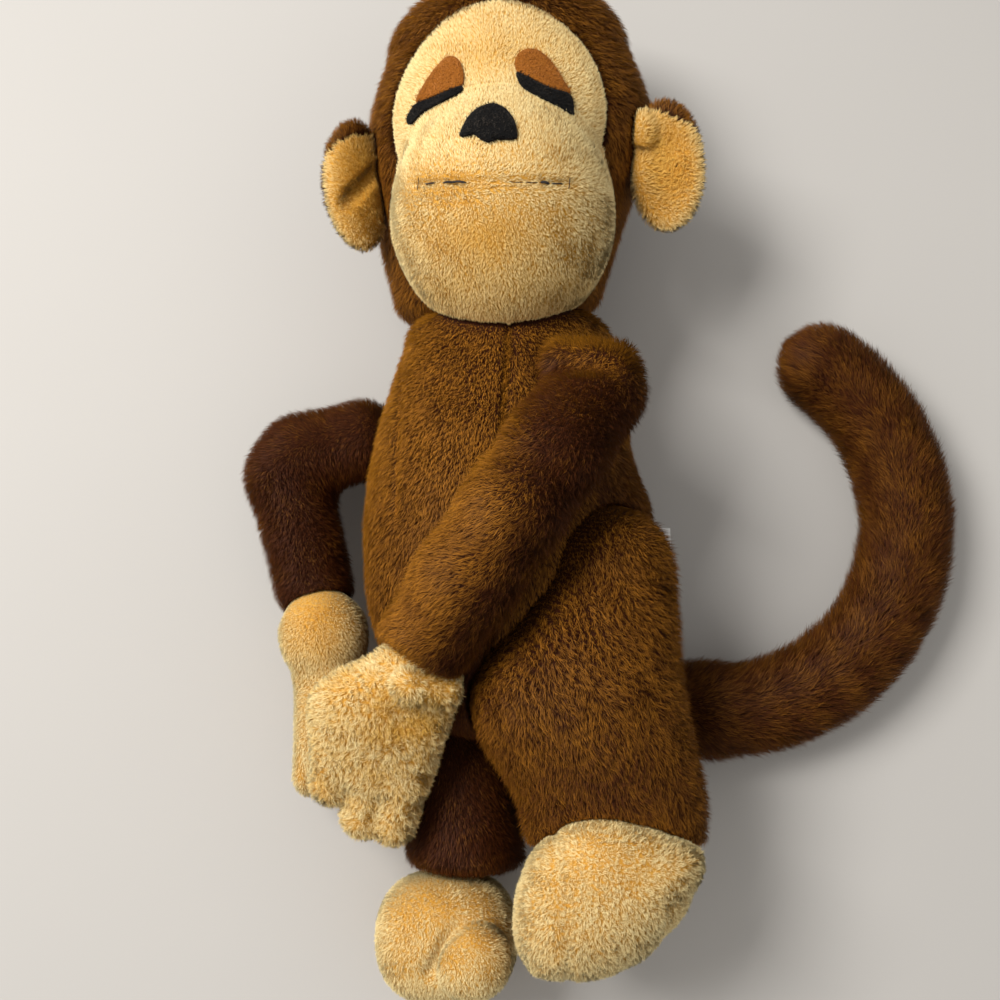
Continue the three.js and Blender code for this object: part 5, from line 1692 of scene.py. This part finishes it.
class MONKEY_OT_tail(Operator):
    """Sew the tail in one cover round its curl"""

    bl_idname = "monkey.tail"
    bl_label = "Tail"

    def execute(self, context):
        def to_tip(p):
            turn, _, way = curl_places(p)
            return np.where(turn[:, None] > 0, way, bearing(TAIL_START))

        run = TAIL_BEND_RUN * bearing(TAIL_START + TAIL_BEND_TURN)
        rides = ("tail_root_body", "tail_tip_body", TAIL_BEND - run, TAIL_BEND + run)
        nodes = ["tail_base", "tail_base_stuffing", "tail_end", "tail_end_stuffing"]
        # The tail's pile is painted darker, as shade.
        nap = Nap(to_tip, lift=54, stray=24, clump=1.1, share=1.35, pale=-0.34, pull=0.35)
        zones = halves(1, -12)
        dress(context, "tail", "brown", tail_form, {"tail"}, nap, rides, nodes, seed=800, zones=zones)
        return {"FINISHED"}


# Felt, thread, label and patches


def closed_curve(points, steps):
    """A smooth closed outline through some points."""
    points = np.array(points, float)
    before, after = np.roll(points, 1, axis=0), np.roll(points, -1, axis=0)
    slopes = 0.5 * (after - before)
    t = (np.arange(steps) / steps)[:, None, None]
    start = (2 * t**3 - 3 * t**2 + 1) * points + (t**3 - 2 * t**2 + t) * slopes
    end = (3 * t**2 - 2 * t**3) * after + (t**3 - t**2) * np.roll(slopes, -1, axis=0)
    return (start + end).transpose(1, 0, 2).reshape(-1, 2)


OUTLINE_STEPS = 5
FELT_BARE = 0.88  # share of a piece of felt that has no pile under it
FELTS = {
    "nose": closed_curve(NOSE, OUTLINE_STEPS),
    "eyelid_right": closed_curve(EYELID_RIGHT, OUTLINE_STEPS),
    "eyelid_left": closed_curve(EYELID_LEFT, OUTLINE_STEPS),
    "eyelash_right": closed_curve(EYELASH_RIGHT, OUTLINE_STEPS),
    "eyelash_left": closed_curve(EYELASH_LEFT, OUTLINE_STEPS),
}


def in_outline(x, y, outline):
    """Which points lie inside a closed outline."""
    found = np.zeros(len(x), bool)
    for (ax, ay), (bx, by) in zip(outline, np.roll(outline, -1, axis=0)):
        spans = (ay > y) != (by > y)
        rise = by - ay if by != ay else 1e-9
        found ^= spans & (x < ax + (y - ay) * (bx - ax) / rise)
    return found


def under_felt(p):
    """Which roots lie under a piece of felt or in the mouth's seam."""
    q = to_head(p)
    hidden = (np.abs(mouth_gap(q)) < 0.3) & (np.abs(q[:, 0]) < MOUTH_HALF)
    for outline in FELTS.values():
        middle = outline.mean(axis=0)
        hidden |= in_outline(q[:, 0], q[:, 1], middle + FELT_BARE * (outline - middle))
    return hidden & (q[:, 2] > 0)


HIGHEST = 90.0  # no form reaches further out than this from the middle of its piece
HALVINGS = 28


def height_on(field, places, placed):
    """How far out a form reaches at flat places. placed turns (x, y, height) into points of the frame."""
    low = np.full(len(places), 0.0)
    high = np.full(len(places), HIGHEST)
    for _ in range(HALVINGS):
        middle = 0.5 * (low + high)
        out = field(placed(np.column_stack([places, middle]))) > 0
        high = np.where(out, middle, high)
        low = np.where(out, low, middle)
    return 0.5 * (low + high)


FELT_FUZZ = 1.2
FELT_FUZZ_HIGHLIGHT = (0.07, 0.055, 0.04)  # painted highlight on the palest stray fibres of felt
FELT_SINK = 1.1  # from the face's cloth to the felt that lies in its pile
PAD_RINGS = (0.06, 0.3, 0.52, 0.7, 0.84, 0.93, 0.98, 1.0)


def ring_faces(rings, count):
    """Faces between rings of points, with the first and last ring closed: corners, starts, and the sides."""
    corner = np.arange(count)
    after = np.roll(corner, -1)
    sides = []
    for low in range(0, (rings - 1) * count, count):
        high = low + count
        sides.append(np.stack([low + corner, high + corner, high + after, low + after], axis=1))
    sides = np.concatenate(sides)
    loops = np.concatenate([sides.ravel(), corner, ((rings - 1) * count + corner)[::-1]])
    starts = np.concatenate([np.arange(len(sides)) * 4, [len(sides) * 4, len(sides) * 4 + count]])
    return loops, starts, sides


def add_pad(name, outline, field, placed, sink, thick):
    """A pad cut to an outline that follows a form, with its edge rolled over. Gives its upper faces too."""
    middle = outline.mean(axis=0)
    upper, lower = [], []
    for share in PAD_RINGS:
        ring = middle + share * (outline - middle)
        height = height_on(field, ring, placed) + sink
        crown = thick * (1 - 0.55 * share**9)
        upper.append(np.column_stack([ring, height + crown]))
        lower.append(np.column_stack([ring, height - 0.8 * sink]))
    rings = upper + lower[::-1]
    places = placed(np.concatenate(rings))
    loops, starts, sides = ring_faces(len(rings), len(outline))
    made = add_mesh(name, places, loops, starts, True)
    return made, places, sides[: (len(PAD_RINGS) - 1) * len(outline)]


class MONKEY_OT_felt(Operator):
    """Sew on the felt nose, eyelids and lashes"""

    bl_idname = "monkey.felt"
    bl_label = "Felt"

    def execute(self, context):
        colours = context.scene.monkey_colours
        thick = context.scene.monkey_pile.felt_thick / MM
        for i, (name, outline) in enumerate(FELTS.items()):
            tan = name.startswith("eyelid")
            base = colours.tan_felt if tan else colours.black_felt
            slot = "tan_felt" if tan else "black_felt"
            pad, places, faces = add_pad(f"{name}_felt", outline, face_form, from_head, FELT_SINK, thick)
            pad.data.materials.append(felt_material(f"{slot}_pressed_wool", base))
            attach(pad, "head_body")
            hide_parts(name)
            way = from_nose(-80)
            nap = Nap(way, lift=34, stray=200, clump=0.5, crowd=0.8, pale=-0.3, vary=2.4)
            # The fuzz's ends take a painted highlight.
            pale = tuple(min(1.0, 1.7 * c + extra) for c, extra in zip(base, FELT_FUZZ_HIGHLIGHT))
            fuzz = grow_pile(
                context, f"{name}_fuzz", places, faces, face_form, set(CLOTHS), nap,
                FELT_FUZZ, 900 + i, nowhere,
            )
            fuzz.data.materials.append(pile_material(f"{slot}_fuzz", base, base, pale))
            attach(fuzz, "head_body")
        return {"FINISHED"}


# The mouth's stitches: each runs from one place across the mouth to another, with its share of the thread
# that shows, and a thin tick stands at each end of the mouth
MOUTH_STITCHES = [
    (-20.0, -16.8, 0.7), (-14.2, -7.0, 0.9), (4.8, 9.4, 0.3), (9.8, 13.6, 0.35),
    (14.2, 16.6, 1.1), (17.2, 20.6, 0.6),
]
MOUTH_TICKS = (-22.2, 22.3)
TICK_THIN = 0.35
TICK_HALF = 2.0
STITCH_POINTS = 9
TICK_POINTS = 7
THREAD_SIDES = 6


def tube(points, radius):
    """Points and faces of a round tube with closed, drawn-in ends."""
    way = np.gradient(points, axis=0)
    way /= np.linalg.norm(way, axis=1, keepdims=True)
    first = np.cross(way, np.array([0.31, 0.52, 0.79]))
    first /= np.linalg.norm(first, axis=1, keepdims=True)
    second = np.cross(way, first)
    angle = np.linspace(0, 2 * math.pi, THREAD_SIDES, endpoint=False)
    wide = np.full(len(points), radius)
    wide[[0, -1]] *= 0.45
    ring = np.cos(angle)[None, :, None] * first[:, None, :]
    ring = ring + np.sin(angle)[None, :, None] * second[:, None, :]
    places = (points[:, None, :] + wide[:, None, None] * ring).reshape(-1, 3)
    corner = np.arange(THREAD_SIDES)
    after = np.roll(corner, -1)
    quads = []
    for low in range(0, (len(points) - 1) * THREAD_SIDES, THREAD_SIDES):
        high = low + THREAD_SIDES
        quads.append(np.stack([low + corner, low + after, high + after, high + corner], axis=1))
    ends = [corner[::-1], (len(points) - 1) * THREAD_SIDES + corner]
    return places, np.concatenate(quads), ends


class MONKEY_OT_mouth(Operator):
    """Stitch the mouth along the muzzle's seam"""

    bl_idname = "monkey.mouth"
    bl_label = "Mouth"

    def execute(self, context):
        radius = 0.5 * context.scene.monkey_pile.thread_width / MM
        runs = []
        for start, end, thick in MOUTH_STITCHES:
            x = np.linspace(start, end, STITCH_POINTS)
            y = mouth_line(x) + 0.12 * np.sin(1.7 * x + start)
            arch = np.sin(np.linspace(0, math.pi, STITCH_POINTS))
            runs.append((np.column_stack([x, y]), 0.3 + 0.7 * thick + 0.7 * arch, thick))
        for x in MOUTH_TICKS:
            y = np.linspace(-TICK_HALF, TICK_HALF, TICK_POINTS)
            places = np.column_stack([x + 0.15 * y, mouth_line(x) + y])
            arch = np.sin(np.linspace(0, math.pi, TICK_POINTS))
            runs.append((places, 0.8 + 0.9 * arch, TICK_THIN))
        parts, loops, starts, base = [], [], [], 0
        for places, lift, thick in runs:
            line = from_head(np.column_stack([places, height_on(muzzle_form, places, from_head) + lift]))
            points, quads, ends = tube(line, thick * radius)
            for face in [*quads, *ends]:
                starts.append(sum(len(part) for part in loops))
                loops.append(face + base)
            parts.append(points)
            base += len(points)
        places, loops = np.concatenate(parts), np.concatenate(loops)
        made = add_mesh("mouth_stitches", places, loops, np.array(starts), True)
        thread = context.scene.monkey_colours.thread
        made.data.materials.append(thread_material("black_cotton_thread", thread))
        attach(made, "head_body")
        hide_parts("mouth_thread")
        return {"FINISHED"}


LABEL_FOLD = 0.75  # half the thickness of the folded tab at its fold
LABEL_TAPE = 0.3
LABEL_BEYOND = 3.0  # of limp tape past the frame's tab
LABEL_SLIP = 1.8  # towards the seat
LABEL_ROOT = 4  # of tape inside the seam


class MONKEY_OT_label(Operator):
    """Fold the bare woven tab into the left side seam"""

    bl_idname = "monkey.label"
    bl_label = "Label"

    def execute(self, context):
        low, high = reach(["side_label"], 0)
        root = low[0] - LABEL_ROOT
        out = high[0] + LABEL_BEYOND
        angle = np.linspace(-math.pi / 2, math.pi / 2, 9)

        def loop(radius):
            bow = np.column_stack([out - LABEL_FOLD + radius * np.cos(angle), radius * np.sin(angle)])
            return np.concatenate([[(root, -0.5 * radius)], bow, [(root, 0.5 * radius)]])

        outer = loop(LABEL_FOLD)
        profile = np.concatenate([outer, loop(LABEL_FOLD - LABEL_TAPE)[::-1]])
        across = np.linspace(low[1], high[1], 15) - LABEL_SLIP
        middle = 0.5 * (low[2] + high[2])
        rings = []
        for y in across:
            droop = 0.4 * math.sin((y + LABEL_SLIP - low[1]) * 0.5)
            lift = middle + profile[:, 1] + droop * (profile[:, 0] - root) / (out - root)
            rings.append(np.column_stack([profile[:, 0], np.full(len(profile), y), lift]))
        loops, starts, _ = ring_faces(len(across), len(profile))
        made = add_mesh("side_label_tape", np.concatenate(rings), loops, starts, False)
        made.data.materials.append(satin_material("white_woven_satin", context.scene.monkey_colours.label))
        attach(made, "torso_body")
        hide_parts("side_label")
        return {"FINISHED"}


# The fastening patches: the frame's node, its hand, and whether it looks up or down
Patch = namedtuple("Patch", "node hand field up")
PATCHES = (
    Patch("palm_loop_patch", "right", right_hand_form, 1),
    Patch("palm_hook_patch", "left", left_hand_form, -1),
)
PATCH_THICK = 2.3  # from the cloth to the ends of the loops' ground
PATCH_LOOP = 0.9
PATCH_STEPS = 40


def patch_place(patch):
    """The middle of a patch and its radius."""
    low, high = reach([patch.node], 0)
    return 0.5 * (low + high), 0.25 * (high[0] - low[0] + high[1] - low[1])


def under_patch(patch):
    """Which roots on a hand lie under its patch."""
    middle, radius = patch_place(patch)

    def hidden(p):
        near = np.hypot(p[:, 0] - middle[0], p[:, 1] - middle[1]) < radius + 0.3
        return near & (np.abs(p[:, 2] - middle[2]) < 9)

    return hidden


class MONKEY_OT_patches(Operator):
    """Sew a fastening patch on each palm, loops on the right hand and hooks on the left"""

    bl_idname = "monkey.patches"
    bl_label = "Patches"

    def execute(self, context):
        nylon = context.scene.monkey_colours.nylon
        for i, patch in enumerate(PATCHES):
            self.sew(context, patch, nylon, 950 + i)
        return {"FINISHED"}

    def sew(self, context, patch, nylon, seed):
        middle, radius = patch_place(patch)
        base = np.array([middle[0], middle[1], middle[2] - 12 * patch.up])
        angle = patch.up * np.linspace(0, 2 * math.pi, PATCH_STEPS, endpoint=False)
        outline = radius * np.column_stack([np.cos(angle), np.sin(angle)])

        def placed(q):
            return base + q * np.array([1, 1, patch.up])

        name = patch.node.replace("palm_", "")
        pad, places, faces = add_pad(f"{name}_ground", outline, patch.field, placed, 0, PATCH_THICK)
        pad.data.materials.append(satin_material("nylon_woven_tape", nylon))
        nap = Nap(constant_way((1, 0, 0)), lift=76, stray=180, clump=0.9, crowd=0.5, curl=140)
        ends = grow_pile(
            context, f"{name}_ends", places, faces, patch.field, set(CLOTHS), nap, PATCH_LOOP, seed, nowhere
        )
        pale = tuple(min(1.0, 1.25 * c) for c in nylon)
        ends.data.materials.append(pile_material("nylon_brushed_loops", nylon, nylon, pale))
        for piece in (pad, ends):
            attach(piece, f"{patch.hand}_arm_lower")
        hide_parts(patch.node)


class MONKEY_OT_stage(Operator):
    """Set the floor, the soft light and the camera"""

    bl_idname = "monkey.stage"
    bl_label = "Stage"

    def execute(self, context):
        scene = context.scene
        stage = scene.monkey_stage
        scene.view_settings.view_transform = "Standard"
        half = 3.0
        corners = np.array([(-half, -half, 0), (half, -half, 0), (half, half, 0), (-half, half, 0)]) / MM
        floor = add_quads("studio_floor", corners, np.array([[0, 1, 2, 3]]))
        floor.data.materials.append(floor_material("matt_painted_board", scene.monkey_colours.floor))
        lamp = bpy.data.lights.new("soft_lamp", "AREA")
        lamp.size = stage.lamp_wide
        lamp.energy = stage.lamp_power
        holder = bpy.data.objects.new("soft_lamp", lamp)
        holder.location = stage.lamp_at
        holder.rotation_euler = (-Vector(stage.lamp_at)).to_track_quat("-Z", "Y").to_euler()
        scene.collection.objects.link(holder)
        world = bpy.data.worlds.new("studio_fill")
        world.use_nodes = True
        back = world.node_tree.nodes["Background"]
        back.inputs["Color"].default_value = (1, 1, 1, 1)
        back.inputs["Strength"].default_value = stage.fill
        scene.world = world
        camera = bpy.data.objects.new("camera", bpy.data.cameras.new("camera"))
        camera.data.lens = stage.lens
        camera.data.clip_start = 0.01
        camera.location = stage.camera_at
        camera.rotation_euler = (stage.camera_tilt, 0, 0)
        scene.collection.objects.link(camera)
        scene.camera = camera
        return {"FINISHED"}


PIECE_OPERATORS = (
    MONKEY_OT_torso,
    MONKEY_OT_head,
    MONKEY_OT_ears,
    MONKEY_OT_arms,
    MONKEY_OT_hands,
    MONKEY_OT_legs,
    MONKEY_OT_feet,
    MONKEY_OT_tail,
    MONKEY_OT_felt,
    MONKEY_OT_mouth,
    MONKEY_OT_label,
    MONKEY_OT_patches,
    MONKEY_OT_stage,
)


class MONKEY_PT_pieces(Panel):
    """The monkey's pieces, in the order that they are sewn"""

    bl_idname = "MONKEY_PT_pieces"
    bl_label = "Plush Monkey"
    bl_space_type = "VIEW_3D"
    bl_region_type = "UI"
    bl_category = "Monkey"

    def draw(self, context):
        for group in (context.scene.monkey_pile, context.scene.monkey_colours, context.scene.monkey_stage):
            box = self.layout.box()
            for name in group.bl_rna.properties.keys():
                if name not in ("rna_type", "name"):
                    box.prop(group, name)
        for operator in PIECE_OPERATORS:
            self.layout.operator(operator.bl_idname)


PROPERTY_GROUPS = {"monkey_pile": MonkeyPile, "monkey_colours": MonkeyColours, "monkey_stage": MonkeyStage}


def register():
    for made in (*PROPERTY_GROUPS.values(), *PIECE_OPERATORS, MONKEY_PT_pieces):
        bpy.utils.register_class(made)
    for name, group in PROPERTY_GROUPS.items():
        setattr(bpy.types.Scene, name, PointerProperty(type=group))


def unregister():
    for name in PROPERTY_GROUPS:
        delattr(bpy.types.Scene, name)
    for made in reversed((*PROPERTY_GROUPS.values(), *PIECE_OPERATORS, MONKEY_PT_pieces)):
        bpy.utils.unregister_class(made)


def main():
    register()
    bpy.ops.monkey.stage()
    bpy.ops.monkey.torso()
    bpy.ops.monkey.head()
    bpy.ops.monkey.ears()
    bpy.ops.monkey.arms()
    bpy.ops.monkey.hands()
    bpy.ops.monkey.legs()
    bpy.ops.monkey.feet()
    bpy.ops.monkey.tail()
    bpy.ops.monkey.felt()
    bpy.ops.monkey.mouth()
    bpy.ops.monkey.label()
    bpy.ops.monkey.patches()


if __name__ == "__main__":
    main()
